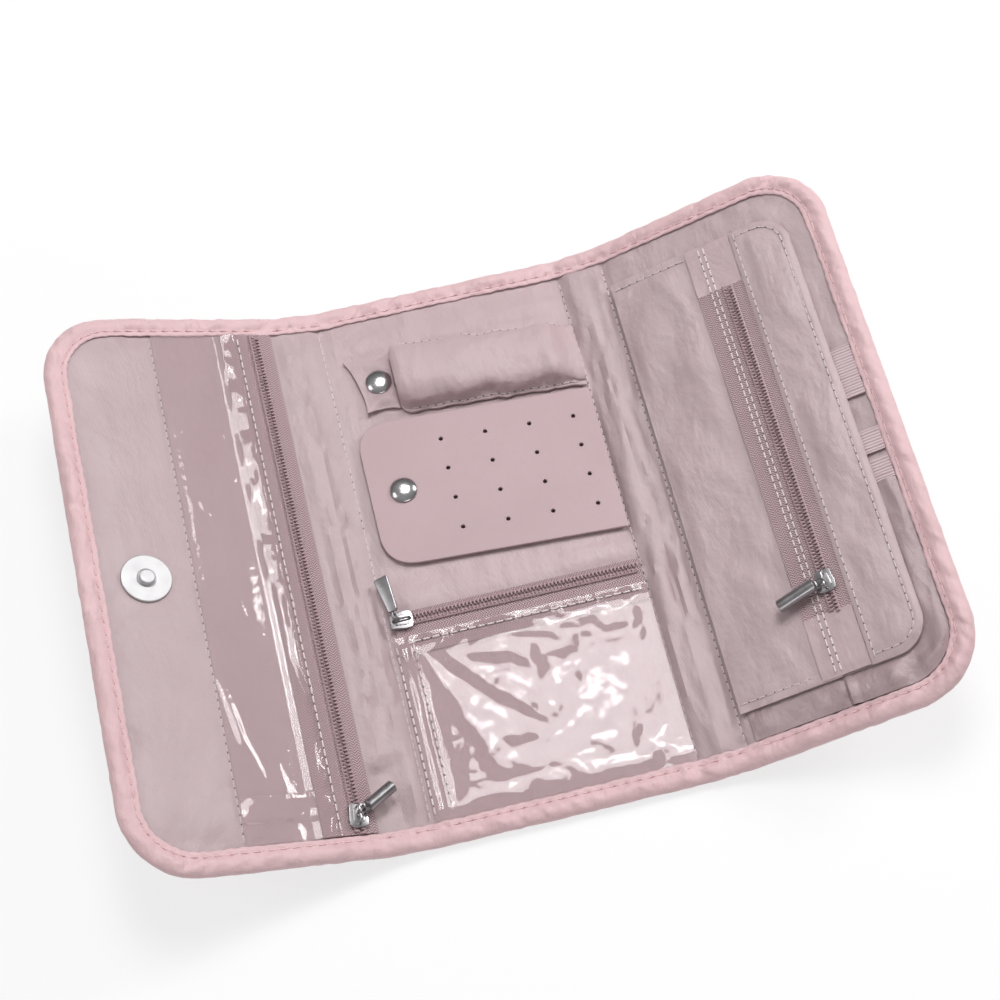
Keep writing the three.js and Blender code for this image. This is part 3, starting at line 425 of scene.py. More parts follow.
def woven(name, low, high, roughness, sheen, weave_depth, crinkle_depth):
    """Woven cloth: drifting colour, warp and weft, and small soft crinkles."""
    material, tree, shader, where = finish_of(
        name, Sheen_Weight=sheen, Sheen_Roughness=0.35, Sheen_Tint=colour(high),
        Specular_IOR_Level=0.5)
    warp, weft = (add(tree, "TexWave", {"Vector": where, "Scale": scale_for(THREAD_MM, wave=True),
                                        "Distortion": 0.6, "Detail": 1.0}, bands_direction=way)
                  for way in "XY")
    weave = add(tree, "Math", {0: warp.outputs[1], 1: weft.outputs[1]}, operation="MULTIPLY")
    crinkle = add(tree, "TexNoise", {"Vector": where, "Scale": scale_for(CRINKLE_MM), "Detail": 3.0,
                                     "Distortion": 0.3})
    stretched = add(tree, "VectorMath", {0: where, 1: (1.0, 0.5, 1.0)}, operation="MULTIPLY")
    creased = add(tree, "TexNoise", {"Vector": stretched, "Scale": scale_for(CREASE_MM),
                                     "Detail": 4.0, "Distortion": 0.25})
    raised = add(tree, "Bump", {"Strength": weave_depth, "Distance": 0.00012, "Height": weave})
    bent = add(tree, "Bump", {"Strength": crinkle_depth, "Distance": 0.0014, "Height": crinkle,
                              "Normal": raised})
    soft = add(tree, "Bump", {"Strength": crinkle_depth, "Distance": 0.006, "Height": creased,
                              "Normal": bent})
    # Painted shade: the colour darkens where the weave dips between the threads.
    grain = add(tree, "MapRange", {"Value": weave, "To Min": 0.86, "To Max": 1.0})
    toned = add(tree, "Mix", {0: 1.0, 6: tinted(tree, where, low, high, 26.0), 7: grain},
                data_type="RGBA", blend_type="MULTIPLY")
    worn = add(tree, "MapRange", {"Value": crinkle, "To Min": roughness - 0.06,
                                  "To Max": roughness + 0.08})
    connect(shader, Normal=soft, Base_Color=toned.outputs[2], Roughness=worn)
    return material


satin_lining = woven("nylon_satin_lining", "#B8A2A5", "#C9B3B6", 0.34, 0.12, 0.45, 0.50)
# A lighter copy of the lining satin, painted light, for the flat centre panel, the ring roll and the
# page's end tabs.
lit_satin = woven("nylon_satin_centre_lit", "#BFA7AA", "#CCB4B7", 0.36, 0.12, 0.45, 0.45)
taffeta_binding = woven("taffeta_binding", "#DDB8BC", "#EBC8CB", 0.44, 0.20, 0.50, 0.65)
nylon_cover = woven("nylon_cover", "#D6B1B5", "#E2BFC3", 0.48, 0.30, 0.50, 0.35)
# A darker, glossier copy of the lining satin: painted shade for the pocket lying in shadow beside the
# page.
shaded_pocket_satin = woven("nylon_satin_pocket_shaded", "#A38D90", "#BCA5A8", 0.27, 0.12, 0.45, 0.55)
print("woven finishes:", satin_lining.name, taffeta_binding.name, nylon_cover.name)

# %% [markdown]
# Zip tape is polyester in a herringbone twill. Its slanting ribs change direction every couple of
# millimetres, which reads as a row of small arrows. The slant is made by adding distance across
# the tape, folded back and forth, to distance along it. The ribs are drawn 1 mm wide. Elastic is
# woven too, with plump cords side by side under a fine fuzz.

# %% Zip tape and elastic
HERRINGBONE_MM = 2.4
TAPE_RIB_MM = 1.0
ELASTIC_CORD_MM = 1.1


def herringbone(name, across, along):
    """Twill tape whose arrows point along one axis."""
    material, tree, shader, where = finish_of(name, Roughness=0.62, Sheen_Weight=0.2,
                                              Sheen_Roughness=0.4, Specular_IOR_Level=0.35)
    place = add(tree, "SeparateXYZ", {0: where})
    zigzag = add(tree, "Math", {0: place.outputs[across], 1: HERRINGBONE_MM * MM / 2},
                 operation="PINGPONG")
    slanted = add(tree, "Math", {0: place.outputs[along], 1: zigzag}, operation="ADD")
    phase = add(tree, "Math", {0: slanted, 1: 2 * math.pi / (TAPE_RIB_MM * MM)}, operation="MULTIPLY")
    rib = add(tree, "Math", {0: phase}, operation="SINE")
    raised = add(tree, "Bump", {"Strength": 0.7, "Distance": 0.00025, "Height": rib})
    # Painted shade: the colour follows the rib height and is darker in the grooves between the ribs.
    share = add(tree, "MapRange", {"Value": rib, "From Min": -1.0, "To Min": 0.0, "To Max": 1.0})
    dye_and_groove_shade = add(tree, "Mix", {0: share, 6: colour("#947A7E"), 7: colour("#CDB3B7")}, data_type="RGBA")
    connect(shader, Normal=raised, Base_Color=dye_and_groove_shade.outputs[2])
    return material


tape_upright = herringbone("polyester_tape_upright", "X", "Y")
tape_level = herringbone("polyester_tape_level", "Y", "X")

ribbed_elastic, tree, shader, where = finish_of("woven_elastic", Roughness=0.68, Sheen_Weight=0.25,
                                                Sheen_Roughness=0.5, Specular_IOR_Level=0.3)
cords = add(tree, "TexWave", {"Vector": where, "Scale": scale_for(ELASTIC_CORD_MM, wave=True),
                              "Distortion": 0.4, "Detail": 1.0}, bands_direction="Y")
fuzz = add(tree, "TexNoise", {"Vector": where, "Scale": scale_for(0.7), "Detail": 3.0})
plump = add(tree, "Math", {0: fuzz, 1: 0.35, 2: cords.outputs[1]}, operation="MULTIPLY_ADD")
raised = add(tree, "Bump", {"Strength": 0.8, "Distance": 0.0003, "Height": plump})
# Painted shade: the colour is darker between the cords.
dye_and_groove_shade = add(tree, "Mix", {0: cords.outputs[1], 6: colour("#B79EA3"), 7: colour("#D8C4C7")},
           data_type="RGBA")
connect(shader, Normal=raised, Base_Color=dye_and_groove_shade.outputs[2])
print("tape and elastic ready")

# %% [markdown]
# The zip's coil is a nylon thread, shaped hot and dyed with the tape, so it is smooth and a little
# shiny. Sewing thread is spun polyester, lighter than the cloth, with a visible twist. The card is
# smooth coated leathercloth with a pressed grain about 0.7 mm across.

# %% Coil, thread and card
coil_nylon, tree, shader, where = finish_of("nylon_coil", Specular_IOR_Level=0.5)
mould = add(tree, "TexNoise", {"Vector": where, "Scale": scale_for(0.6), "Detail": 2.0})
worn = add(tree, "MapRange", {"Value": mould, "To Min": 0.3, "To Max": 0.46})
connect(shader, Base_Color=tinted(tree, where, "#A3888C", "#BCA1A5", 5.0), Roughness=worn)


def spun(name, low, high):
    """Spun sewing thread: fine slanting fibres, darker in the grooves of the twist as painted shade."""
    material, tree, shader, where = finish_of(name, Roughness=0.55, Sheen_Weight=0.3,
                                              Sheen_Roughness=0.4)
    twist = add(tree, "TexWave", {"Vector": where, "Scale": scale_for(0.5, wave=True),
                                  "Distortion": 1.0}, bands_direction="DIAGONAL").outputs[1]
    raised = add(tree, "Bump", {"Strength": 0.5, "Distance": 0.0001, "Height": twist})
    dye_and_groove_shade = add(tree, "Mix", {0: twist, 6: colour(low), 7: colour(high)}, data_type="RGBA")
    connect(shader, Normal=raised, Base_Color=dye_and_groove_shade.outputs[2])
    return material


seam_thread = spun("polyester_thread", "#BFAFB1", "#DDD0D1")
pale_thread = spun("pale_thread", "#D2C4C5", "#F0E8E7")
# These two dark shades are painted shade, for the needle holes between the stitches.
needle_shade = spun("needle_shade", "#5F4B4F", "#77636A")
binding_shade = spun("binding_shade", "#B48B90", "#C59DA1")
binding_thread = spun("binding_thread", "#D6ABAF", "#E8C2C6")

pressed_card, tree, shader, where = finish_of("leathercloth", Coat_Weight=0.08, Coat_Roughness=0.4,
                                              Specular_IOR_Level=0.4)
grain = add(tree, "TexVoronoi", {"Vector": where, "Scale": scale_for(0.7)}, feature="F1")
soft = add(tree, "TexNoise", {"Vector": where, "Scale": scale_for(14.0), "Detail": 3.0})
raised = add(tree, "Bump", {"Strength": 0.25, "Distance": 0.0001, "Height": grain})
bowed = add(tree, "Bump", {"Strength": 0.12, "Distance": 0.0008, "Height": soft, "Normal": raised})
worn = add(tree, "MapRange", {"Value": grain, "To Min": 0.44, "To Max": 0.58})
connect(shader, Normal=bowed, Base_Color=tinted(tree, where, "#AD9497", "#B99FA3", 30.0),
        Roughness=worn)
print("coil, thread and card ready")

# %% [markdown]
# The sliders, pulls and snap caps are die-cast zinc under bright nickel, tumbled smooth: almost a
# mirror, with faint tumbling marks and a few duller patches. The magnet's disc is plated steel,
# duller and with finer marks. Clear vinyl is soft and glossy. It is drawn as a mostly see-through
# skin, whose strong shine comes from the shader and not from paint.

# %% Metal and vinyl


def plated(name, tone, lighter, roughness, scratch_mm):
    """Bright plating with fine scratches and duller patches."""
    material, tree, shader, where = finish_of(name, Metallic=1.0)
    scratches = add(tree, "TexNoise", {"Vector": where, "Scale": scale_for(scratch_mm),
                                       "Detail": 6.0, "Roughness": 0.7})
    raised = add(tree, "Bump", {"Strength": 0.12, "Distance": 0.00005, "Height": scratches})
    dull = add(tree, "TexNoise", {"Vector": where, "Scale": scale_for(3.0), "Detail": 3.0})
    worn = add(tree, "MapRange", {"Value": dull, "To Min": roughness * 0.7,
                                  "To Max": roughness * 1.5})
    connect(shader, Normal=raised, Roughness=worn,
            Base_Color=tinted(tree, where, tone, lighter, 6.0))
    return material


bright_nickel = plated("bright_nickel", "#B0AEB0", "#CAC8C9", 0.18, 0.5)
zip_nickel = plated("zip_nickel", "#918E90", "#ABA8AA", 0.28, 0.5)
turned_steel = plated("turned_steel", "#BDBCBD", "#D2D1D2", 0.5, 0.4)

VINYL_SHOWS = 0.24
clear_vinyl, tree, shader, where = finish_of("clear_vinyl", IOR=1.85, Alpha=VINYL_SHOWS)
flow = add(tree, "TexNoise", {"Vector": where, "Scale": scale_for(6.0), "Detail": 2.0})
raised = add(tree, "Bump", {"Strength": 0.25, "Distance": 0.0006, "Height": flow})
smear = add(tree, "MapRange", {"Value": flow, "To Min": 0.03, "To Max": 0.09})
connect(shader, Base_Color=tinted(tree, where, "#C3A5A9", "#D2BCBF", 40.0), Normal=raised,
        Roughness=smear)
print("metal and vinyl ready")

# %% [markdown]
# The roll is a padded sandwich: cover, foam and lining, bound together at the edge and sewn
# through at the folds. The visible face is one height map over the flat roll. It puffs up where
# only foam lies under it, dips along each seam, and ripples beside the seams, because the thread
# gathers the cloth a little. Where something lies on the lining it stays low, to make room. A
# shallow hollow takes the long zip's pull when the roll shuts.

# %% The lining's face
FLAP_SEAM = LEFT_CREASE - 47.3
SEAMS = [(LEFT_SEAM, 0.9), (RIGHT_SEAM, 0.8), (RIGHT_CREASE, 1.0), (FLAP_SEAM, 0.55),
         (LEFT_CREASE, 0.25)]


def edge_distance(x, y):
    """How far a flat point lies inside the roll's outer edge."""
    from_end = np.minimum(x - LEFT_END, RIGHT_END - x)
    from_side = HALF_LENGTH - np.abs(y)
    in_corner = (from_end < CORNER) & (from_side < CORNER)
    round_off = CORNER - np.hypot(CORNER - from_end, CORNER - from_side)
    return np.where(in_corner, round_off, np.minimum(from_end, from_side))


def box_share(x, y, low_x, high_x, low_y, high_y, soft=3.0):
    """1 inside a rectangle and 0 outside it, with soft borders."""
    return (smooth(x, low_x - soft, low_x) * smooth(high_x + soft - x, 0, soft)
            * smooth(y, low_y - soft, low_y) * smooth(high_y + soft - y, 0, soft))


def covered(x, y):
    """How much of the face is taken by what lies on it."""
    long_zip = box_share(x, y, LEFT_CREASE - 46, LEFT_CREASE - 0.5, -110, 110)
    small_pocket = box_share(x, y, LEFT_SEAM, RIGHT_SEAM, -110, -21)
    card_and_roll = box_share(x, y, LEFT_SEAM + 4, RIGHT_SEAM, -11, 83) * 0.75
    page = box_share(x, y, RIGHT_CREASE + 1, RIGHT_CREASE + 73, -89, 87) * 0.6
    keepers = box_share(x, y, RIGHT_CREASE + 3, RIGHT_END - 6, -102, 28)
    pull = box_share(x, y, LEFT_CREASE - 2, LEFT_CREASE + 10, -99, -76, 4)
    return np.max([long_zip, small_pocket, card_and_roll, page, keepers, pull], axis=0)


BAND_FOLDS = [
    (LEFT_CREASE + 4.4, 1.6, 1.0, 1.5, -99, 40, 54),
    (LEFT_CREASE + 8.2, 2.4, 1.2, 1.9, -60, 99, 55),
    (LEFT_CREASE + 12.0, 1.2, 0.9, 1.1, -95, -5, 56),
    (RIGHT_SEAM + 4.2, 2.2, 1.1, 1.5, -99, 20, 57),
    (RIGHT_SEAM + 7.6, 2.6, 1.5, 1.8, -80, 95, 58),
    (RIGHT_SEAM + 11.0, 2.0, 1.0, 1.4, -99, 70, 59),
    (RIGHT_SEAM + 6.0, 1.5, 0.9, 1.0, 0, 99, 60),
]


def band_fold_height(x, y):
    """The long soft folds in the narrow bands: (x, wander, half width, height, from y, to y, seed)."""
    total = 0
    for at, wander, half_width, tall, low, high, seed in BAND_FOLDS:
        middle = at + wander * ripple(y / 32, 0, seed) + 0.4 * wander * ripple(y / 9, 0, seed + 20)
        ends = smooth(y, low, low + 25) * smooth(high - y, 0, 25)
        total = total + tall * ends * hump(x - middle, half_width)
    return total


HIGHEST_FOLD, DEEPEST_DIP = 2.6, 0.9
PULL_HOLLOW = 1.1


def face_height(x, y):
    """The lining's height over the flat roll, in millimetres."""
    x, y = np.broadcast_arrays(np.asarray(x, float), np.asarray(y, float))
    inward = edge_distance(x, y)
    field = smooth(inward, BINDING_WIDTH, BINDING_WIDTH + 11)
    puff = 0.75 * field * (1 + 0.35 * ripple(x / 40, y / 46, 3))
    waves = 0.34 * ripple((x + 0.4 * y) / 24, (y - 0.4 * x) / 11, 5)
    waves += 0.60 * ripple((x + y) / 4.6, inward / 16, 7) * np.exp(-np.maximum(inward - 8, 0) / 7)
    dip = 0.35 * (1 - field)
    for number, (seam, depth) in enumerate(SEAMS):
        away = np.abs(x - seam)
        dip = dip + depth * (0.6 * hump(away, 2.2) + 0.5 * hump(away, 0.8))
        gather = ripple((x - seam) / 13, y / 5.2, 11 + number) + 0.6 * ripple(
            (x - seam) / 6, y / 2.9, 31 + number)
        waves = waves + 0.55 * depth * gather * np.exp(-away / 6.5) * smooth(away, 0.2, 1.6)
    for low, high, strength, seed in ((LEFT_CREASE, LEFT_SEAM, 1.15, 51),
                                      (RIGHT_SEAM, RIGHT_CREASE, 1.9, 53)):
        band = smooth(x, low - 2, low + 2) * smooth(high + 2 - x, 0, 4)
        tilt = x + 3.0 * ripple(y / 40, 0, seed + 1)
        waves = waves + strength * band * (0.25 + ripple(tilt / 4.4, y / 30, seed)
                                           + 0.4 * ripple(tilt / 2.4, y / 15, seed + 2))
    raised = puff + waves + band_fold_height(x, y)
    raised = np.minimum(raised, 0.05) + np.maximum(raised - 0.05, 0) * (1 - covered(x, y))
    limit = np.where(raised > 0, HIGHEST_FOLD, DEEPEST_DIP)
    height = FACE + limit * np.tanh(raised / limit) - dip
    for_pull = box_share(x, y, LEFT_CREASE + 0.5, LEFT_CREASE + 6.5, -92, -78)
    height = height * (1 - for_pull) + (FACE - PULL_HOLLOW) * for_pull
    tucked = smooth(inward, BINDING_WIDTH - 1.5, BINDING_WIDTH + 1.5)
    return height * tucked + (FACE - 0.35) * (1 - tucked)


def cover_height(x, y):
    """The cover's height on the underside, near 0 where the padding presses it out."""
    inward = edge_distance(x, y)
    rise = 1.15 * (1 - smooth(inward, BINDING_WIDTH, BINDING_WIDTH + 9))
    rise += 0.10 * (1 + ripple(x / 20, y / 20, 61))
    for number, (seam, depth) in enumerate(SEAMS[:3] + SEAMS[4:]):
        away = np.abs(x - seam)
        rise = rise + 0.8 * hump(away, 2.2) * min(1, depth + 0.3)
        rise = rise + 0.16 * (1 + ripple((x - seam) / 12, y / 5.5, 71 + number)) * np.exp(-away / 6)
    return np.clip(rise, 0.02, 1.3)


print("lining heights along y 60:", face_height(np.linspace(-140, 140, 8), 60.0).round(2).tolist())

# %% [markdown]
# The cloth is cut at the folds into strips. A strip over a panel rides on it. A strip over a fold
# is shaped as it lies in the opened roll and stays fixed there, and its edges meet the panels'
# edges exactly. Rows and columns lie about 1.5 mm apart, closer together round the flaps' corners,
# which lets the ripples show as real shape.

# %% Strips of padded cloth
left_middle = (LEFT_SEAM + LEFT_CREASE) / 2
right_middle = (RIGHT_SEAM + RIGHT_CREASE) / 2
STRIPS = {
    "left_flap": (LEFT_END, LEFT_CREASE - LEFT_REACH, ["left_flap"], "left_flap"),
    "left_fold_outer": (LEFT_CREASE - LEFT_REACH, left_middle, ["left_band", "left_flap"], ""),
    "left_fold_inner": (left_middle, LEFT_SEAM + LEFT_REACH, ["centre_panel", "left_band"], "left_band"),
    "centre": (LEFT_SEAM + LEFT_REACH, RIGHT_SEAM - RIGHT_REACH, ["centre_panel"], "centre"),
    "right_fold_inner": (RIGHT_SEAM - RIGHT_REACH, right_middle, ["centre_panel", "right_band"],
                         "right_band"),
    "right_fold_outer": (right_middle, RIGHT_CREASE + RIGHT_REACH, ["right_band", "right_flap"], ""),
    "right_flap": (RIGHT_CREASE + RIGHT_REACH, RIGHT_END, ["right_flap"], "right_flap"),
}
CLOTH_STEP = 1.5
CLOTH_INSET = 1.9
CLOTH_THICKNESS = 0.9
LINING_UNDERSIDE, COVER_INSIDE = FACE - 1.2, 1.75


def attach(made, strip, slot, *kinds):
    """Lets a strip's piece ride on its panel, or leaves a piece over a fold fixed where it lies,
    standing for its nodes.
    """
    _, _, bodies, node = STRIPS[strip]
    if len(bodies) == 1:
        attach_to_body(made, bodies[0])
    else:
        side, _, which = strip.split("_")
        way, seam, crease, _, _, reach = SIDES[side]
        line = crease if which == "outer" else seam
        start, end = (fold([[line + way * share * reach, 0, FACE]])[0] * MM for share in (-1, 1))
        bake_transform(made)
    nodes = [node + kind for kind in kinds if node + kind in frame["nodes"]]
    if nodes:
        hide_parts(*nodes)


def strip_grid(low, high):
    """Flat x and y of a strip's cloth, narrowed round the flaps' corners."""
    columns = spread(low, high, CLOTH_STEP)
    for end, way in ((LEFT_END, 1), (RIGHT_END, -1)):
        if low <= end <= high:
            inner = end + way * CORNER
            quarter = np.linspace(0, math.pi / 2, 26)
            curve = end + way * (CLOTH_INSET + (CORNER - CLOTH_INSET) * (1 - np.cos(quarter)))
            straight = spread(inner, high if way > 0 else low, CLOTH_STEP)[1:]
            columns = np.sort(np.concatenate([curve, straight]))
    from_end = np.minimum(columns - LEFT_END, RIGHT_END - columns)
    bend = np.clip(CORNER - from_end, 0, CORNER - CLOTH_INSET)
    half = HALF_LENGTH - CORNER + np.sqrt((CORNER - CLOTH_INSET) ** 2 - bend ** 2)
    half = np.where(from_end >= CORNER, HALF_LENGTH - CLOTH_INSET, half)
    rows = spread(-1, 1, 2 * CLOTH_STEP / (2 * HALF_LENGTH))
    return np.broadcast_to(columns[:, None], (len(columns), len(rows))), half[:, None] * rows


for strip, (low, high, _, _) in STRIPS.items():
    x, y = strip_grid(low, high)
    face = face_height(x, y)
    under = np.minimum(face - CLOTH_THICKNESS, LINING_UNDERSIDE)
    lining = piece(strip + "_lining_cloth", folded(layer(x, y, under, face)),
                   lit_satin if strip == "centre" else satin_lining)
    cover = piece(strip + "_cover_cloth", folded(layer(x, y, cover_height(x, y), COVER_INSIDE)),
                  nylon_cover)
    attach(lining, strip, "lining_cloth", "_lining", "_foam")
    attach(cover, strip, "cover_cloth", "_cover")
print("padded strips:", list(STRIPS))

# %% [markdown]
# The binding is a folded tape of light taffeta that wraps the whole edge. It is swept as one
# rounded section along the edge, puffed between the outer rim and its own stitch line. Each
# stitch pulls a small dimple, and longer puckers come and go along the way, most of all round
# the corners, as on any bias tape that has been eased round a bend. The tape's two ends lap on
# the lower edge near the right seam, where it is thicker.

# %% Binding
BINDING_STITCH_IN = 6.2
BINDING_PITCH = 4.5
LAP_RISE, LAP_END = (37.0, 42.0), 42.4
SECTION_OUTSIDE = 29
SECTION = curve_through([
    (8.1, 4.15), (7.4, 4.5), (6.2, 4.3), (5.0, 4.9), (3.4, 5.25), (1.8, 4.85), (0.6, 3.8),
    (0.0, 2.3), (0.5, 0.9), (1.7, 0.12), (3.4, 0.0), (5.0, 0.12), (6.2, 0.5), (7.4, 0.3),
    (8.1, 0.6), (7.6, 1.15), (4.5, 1.2), (2.0, 1.5), (1.6, 2.4), (2.0, 3.3), (4.5, 3.6), (7.6, 3.7),
], steps=2, closed=True)


def edge_path(strip):
    """The outer edge along a strip, as lists of (x, y, outward x, outward y)."""
    low, high = STRIPS[strip][:2]
    if strip in ("left_flap", "right_flap"):
        way = -1 if strip == "left_flap" else 1
        crease, end = (high, low) if way < 0 else (low, high)
        straight = spread(crease, end - way * CORNER, 1.3)
        arc = np.linspace(0, math.pi / 2, 34)[1:]
        centre_x, centre_y = end - way * CORNER, HALF_LENGTH - CORNER
        top = [(x, HALF_LENGTH, 0, 1) for x in straight]
        top += [(centre_x + way * CORNER * math.sin(a), centre_y + CORNER * math.cos(a),
                 way * math.sin(a), math.cos(a)) for a in arc]
        side = [(end, y, way, 0) for y in spread(centre_y, -centre_y, 1.3)[1:-1]]
        bottom = [(x, -y, nx, -ny) for x, y, nx, ny in reversed(top)]
        return [("", top + side + bottom)]
    return [(ending, [(x, way * HALF_LENGTH, 0, way) for x in spread(low, high, 1.0)])
            for ending, way in (("_top", 1), ("_bottom", -1))]


def along_path(path):
    """Distance along a path from a start that neighbouring strips share."""
    line = np.array(path)[:, :2]
    steps = np.linalg.norm(np.diff(line, axis=0), axis=1)
    return line[0, 0] + np.concatenate([[0], np.cumsum(steps)])


def binding_rings(path):
    """The binding's section at each place of a path, puckered."""
    path = np.array(path)
    run = along_path(path)[:, None]
    if path[0, 0] > path[-1, 0] or abs(path[0, 0] - path[-1, 0]) < 1:
        run = np.where(path[:, :1] < 0, -run, run)
    inward, height = SECTION[None, :, 0], SECTION[None, :, 1]
    turning = (np.abs(path[:, 2:3] * path[:, 3:4]) > 0.02).astype(float)
    outside = np.ones(len(SECTION))
    outside[SECTION_OUTSIDE:] = 0.0
    swell = np.sin(np.pi * np.clip(inward / BINDING_STITCH_IN, 0, 1))
    top = np.sign(height - 2.3)
    slanting = run + 0.9 * top * inward
    pucker = (0.68 + 0.35 * turning) * ripple(slanting / 2.6, 3 * top + inward / 7, 81)
    pucker = pucker + 0.30 * ripple(run / 9.0, 5 * top, 82)
    stitched = hump(inward - BINDING_STITCH_IN, 0.9)
    dimple = 0.30 * np.cos(2 * np.pi * run / BINDING_PITCH) * stitched
    change = outside * (pucker * swell + dimple + 0.24 * ripple(run / 1.9, inward / 2, 83) * swell)
    lap = smooth(path[:, :1], *LAP_RISE) * (path[:, :1] < LAP_END) * (path[:, 1:2] < -HALF_LENGTH + 1)
    change = change + 0.55 * outside * lap * smooth(inward, 0.3, 1.5)
    raised = height + top * change * np.where(top < 0, 1 - lap, 1)
    low = np.maximum(raised, 0.0)
    push = outside * 0.25 * pucker * hump(inward, 1.6)
    scallop = 0.14 * np.cos(2 * np.pi * run / BINDING_PITCH) + 0.24 * ripple(run / 6.0, 9, 84)
    push = push + scallop * smooth(inward, 6.4, 8.0)
    x = path[:, 0:1] - path[:, 2:3] * (inward - push)
    y = path[:, 1:2] - path[:, 3:4] * (inward - push)
    return stacked(x, y, low)


for strip in STRIPS:
    for ending, path in edge_path(strip):
        made = piece(strip + "_binding_tape" + ending, loft(fold(binding_rings(path))), taffeta_binding)
        attach(made, strip, "binding_tape", "_binding" + ending)
print("binding swept in", BINDING_WIDTH, "mm tape")

# %% [markdown]
# Stitches are small rods of thread, each with its two ends pulled into the cloth. A row follows a
# line over the surface. All stitches of a row on one panel are joined into one piece, and the
# rows that cross a fold are cut there as the cloth is.

# %% Stitches
THREAD_RADIUS = 0.28


def stitch_places(line, pitch, length):
    """A dense line, the distance along it, and where its stitches start."""
    line = np.asarray(line, float)
    run = np.concatenate([[0], np.cumsum(np.linalg.norm(np.diff(line, axis=0), axis=1))])
    count = int(run[-1] // pitch)
    start = (run[-1] - count * pitch + (pitch - length)) / 2
    return line, run, count, start


def stitch_row(line, pitch=3.2, length=2.7, radius=THREAD_RADIUS, lift=0.10):
    """Stitches along a dense line of points, as one shape."""
    line, run, count, start = stitch_places(line, pitch, length)
    if count < 1:
        return None
    shapes = []
    for k in range(count):
        places = start + k * pitch + np.array([0, 0.12, 0.5, 0.88, 1.0]) * length
        path = np.stack([np.interp(places, run, line[:, axis]) for axis in range(3)], axis=1)
        path[:, 2] += lift * np.array([-2.2, 0.2, 1, 0.2, -2.2])
        shapes.append(tube(path, radius * np.array([0.5, 1, 1, 1, 0.5]), sides=6))
    return joined(shapes)


def needle_row(line, pitch=3.2, length=2.7, radius=THREAD_RADIUS, lift=0.10):
    """Dark rods between the stitches: painted shade in the holes where the thread goes through."""
    line, run, count, start = stitch_places(line, pitch, length)
    pits = []
    for k in range(1, count):
        at = start + k * pitch - (pitch - length) / 2
        middle, ahead = (np.array([np.interp(at + step, run, line[:, axis]) for axis in range(3)])
                         for step in (0, 0.2))
        reach = (ahead - middle) / 0.2 * (pitch - length + 0.3) / 2
        flat = np.array([0, 0, lift * 0.5])
        pits.append(tube(np.array([middle - reach, middle, middle + reach]) - flat,
                         radius * np.array([0.4, 1.05, 0.4]), sides=6))
    return joined(pits) if pits else None


def sew(name, lines, material, body=None, strip=None, slot="lining_cloth", **sizes):
    """Rows of stitches along flat lines, as one piece on one body or over one fold."""
    lines = [fold(line, body) for line in lines]
    # The pits are painted shade: small dark rods where the needle holes are.
    shade = binding_shade if material == binding_thread else needle_shade
    for ending, draw, dye in (("", stitch_row, material), ("_needle_hole_shade", needle_row, shade)):
        rows = [draw(line, **sizes) for line in lines]
        made = piece(name + ending, joined([row for row in rows if row]), dye)
        if strip:
            attach(made, strip, slot)
        else:
            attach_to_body(made, body)


for name, x, end, strip in (("left_seam", LEFT_SEAM, 99.0, "left_fold_inner"),
                            ("right_seam", RIGHT_SEAM, 99.0, "right_fold_inner"),
                            ("right_crease", RIGHT_CREASE, 99.0, "right_fold_outer"),
                            ("flap_seam", FLAP_SEAM, 98.0, "left_flap")):
    y = spread(-end, end, 1.0)
    sew(name + "_stitches", [stacked(x, y, face_height(x, y) + 0.12)], seam_thread, strip=strip)

STITCH_HEIGHTS = (4.38, 0.42)
for strip in STRIPS:
    lines = []
    for _, path in edge_path(strip):
        path = np.array(path).T
        x, y = path[:2] - path[2:] * BINDING_STITCH_IN
        lines += [stacked(x, y, height) for height in STITCH_HEIGHTS]
    sew(strip + "_binding_stitches", lines, binding_thread, strip=strip, slot="binding_tape",
        pitch=BINDING_PITCH, length=3.7, radius=0.27, lift=0.06)
print("seams and binding sewn")

# %% [markdown]
# The zips are fine nylon coil. Each row is one thread wound into a flattened spiral and sewn to
# its tape, and the two spirals mesh half a turn apart. Here each spiral is swept as a real
# winding, at 1.35 mm a turn. The zip is drawn upright at the origin and then placed, so the same
# lines make all three.

# %% Zips
TAPE = 0.4
COIL_PITCH = 1.35
COIL_THREAD = 0.42
COIL_MIDDLE, COIL_LEVEL = 1.16, TAPE + 0.62
COIL_HALF_WIDTH, COIL_HALF_HEIGHT = 0.58, 0.28
COIL_STEPS = 9
TAPE_STANDOFF = 0.7
PAGE_AT = (RIGHT_CREASE + 1.9, -0.8, FACE + 1.2)


def coil(side, low, high):
    """One row of the chain, as a wound thread."""
    turns = (high - low) / COIL_PITCH - 1
    angle = np.arange(0, turns * 2 * math.pi, 2 * math.pi / COIL_STEPS)
    turn = angle / (2 * math.pi)
    whole = np.floor(turn + 1e-9) + smooth(turn - np.floor(turn + 1e-9), 0.85, 1.0)
    path = np.stack([side * (COIL_MIDDLE + COIL_HALF_WIDTH * np.cos(angle)),
                     low + COIL_PITCH * (whole + (0.75 if side < 0 else 0.25)),
                     COIL_LEVEL + COIL_HALF_HEIGHT * np.sin(angle)], axis=1)
    radial = np.stack([side * np.cos(angle), np.zeros_like(angle), np.sin(angle)], axis=1)
    return tube(path, COIL_THREAD, radial, sides=5)


def tape_strip(start, end, low, high, seed):
    """A zip tape, a little wavy, from one x to another."""
    x = np.linspace(start, end, 7)[:, None]
    y = spread(low, high, 2.0)[None, :]
    z = 0.10 * ripple(x / 7, y / 13, seed) * smooth(np.abs(x), 1.5, 5)
    return layer(x, y, z + 0.05, z + TAPE)


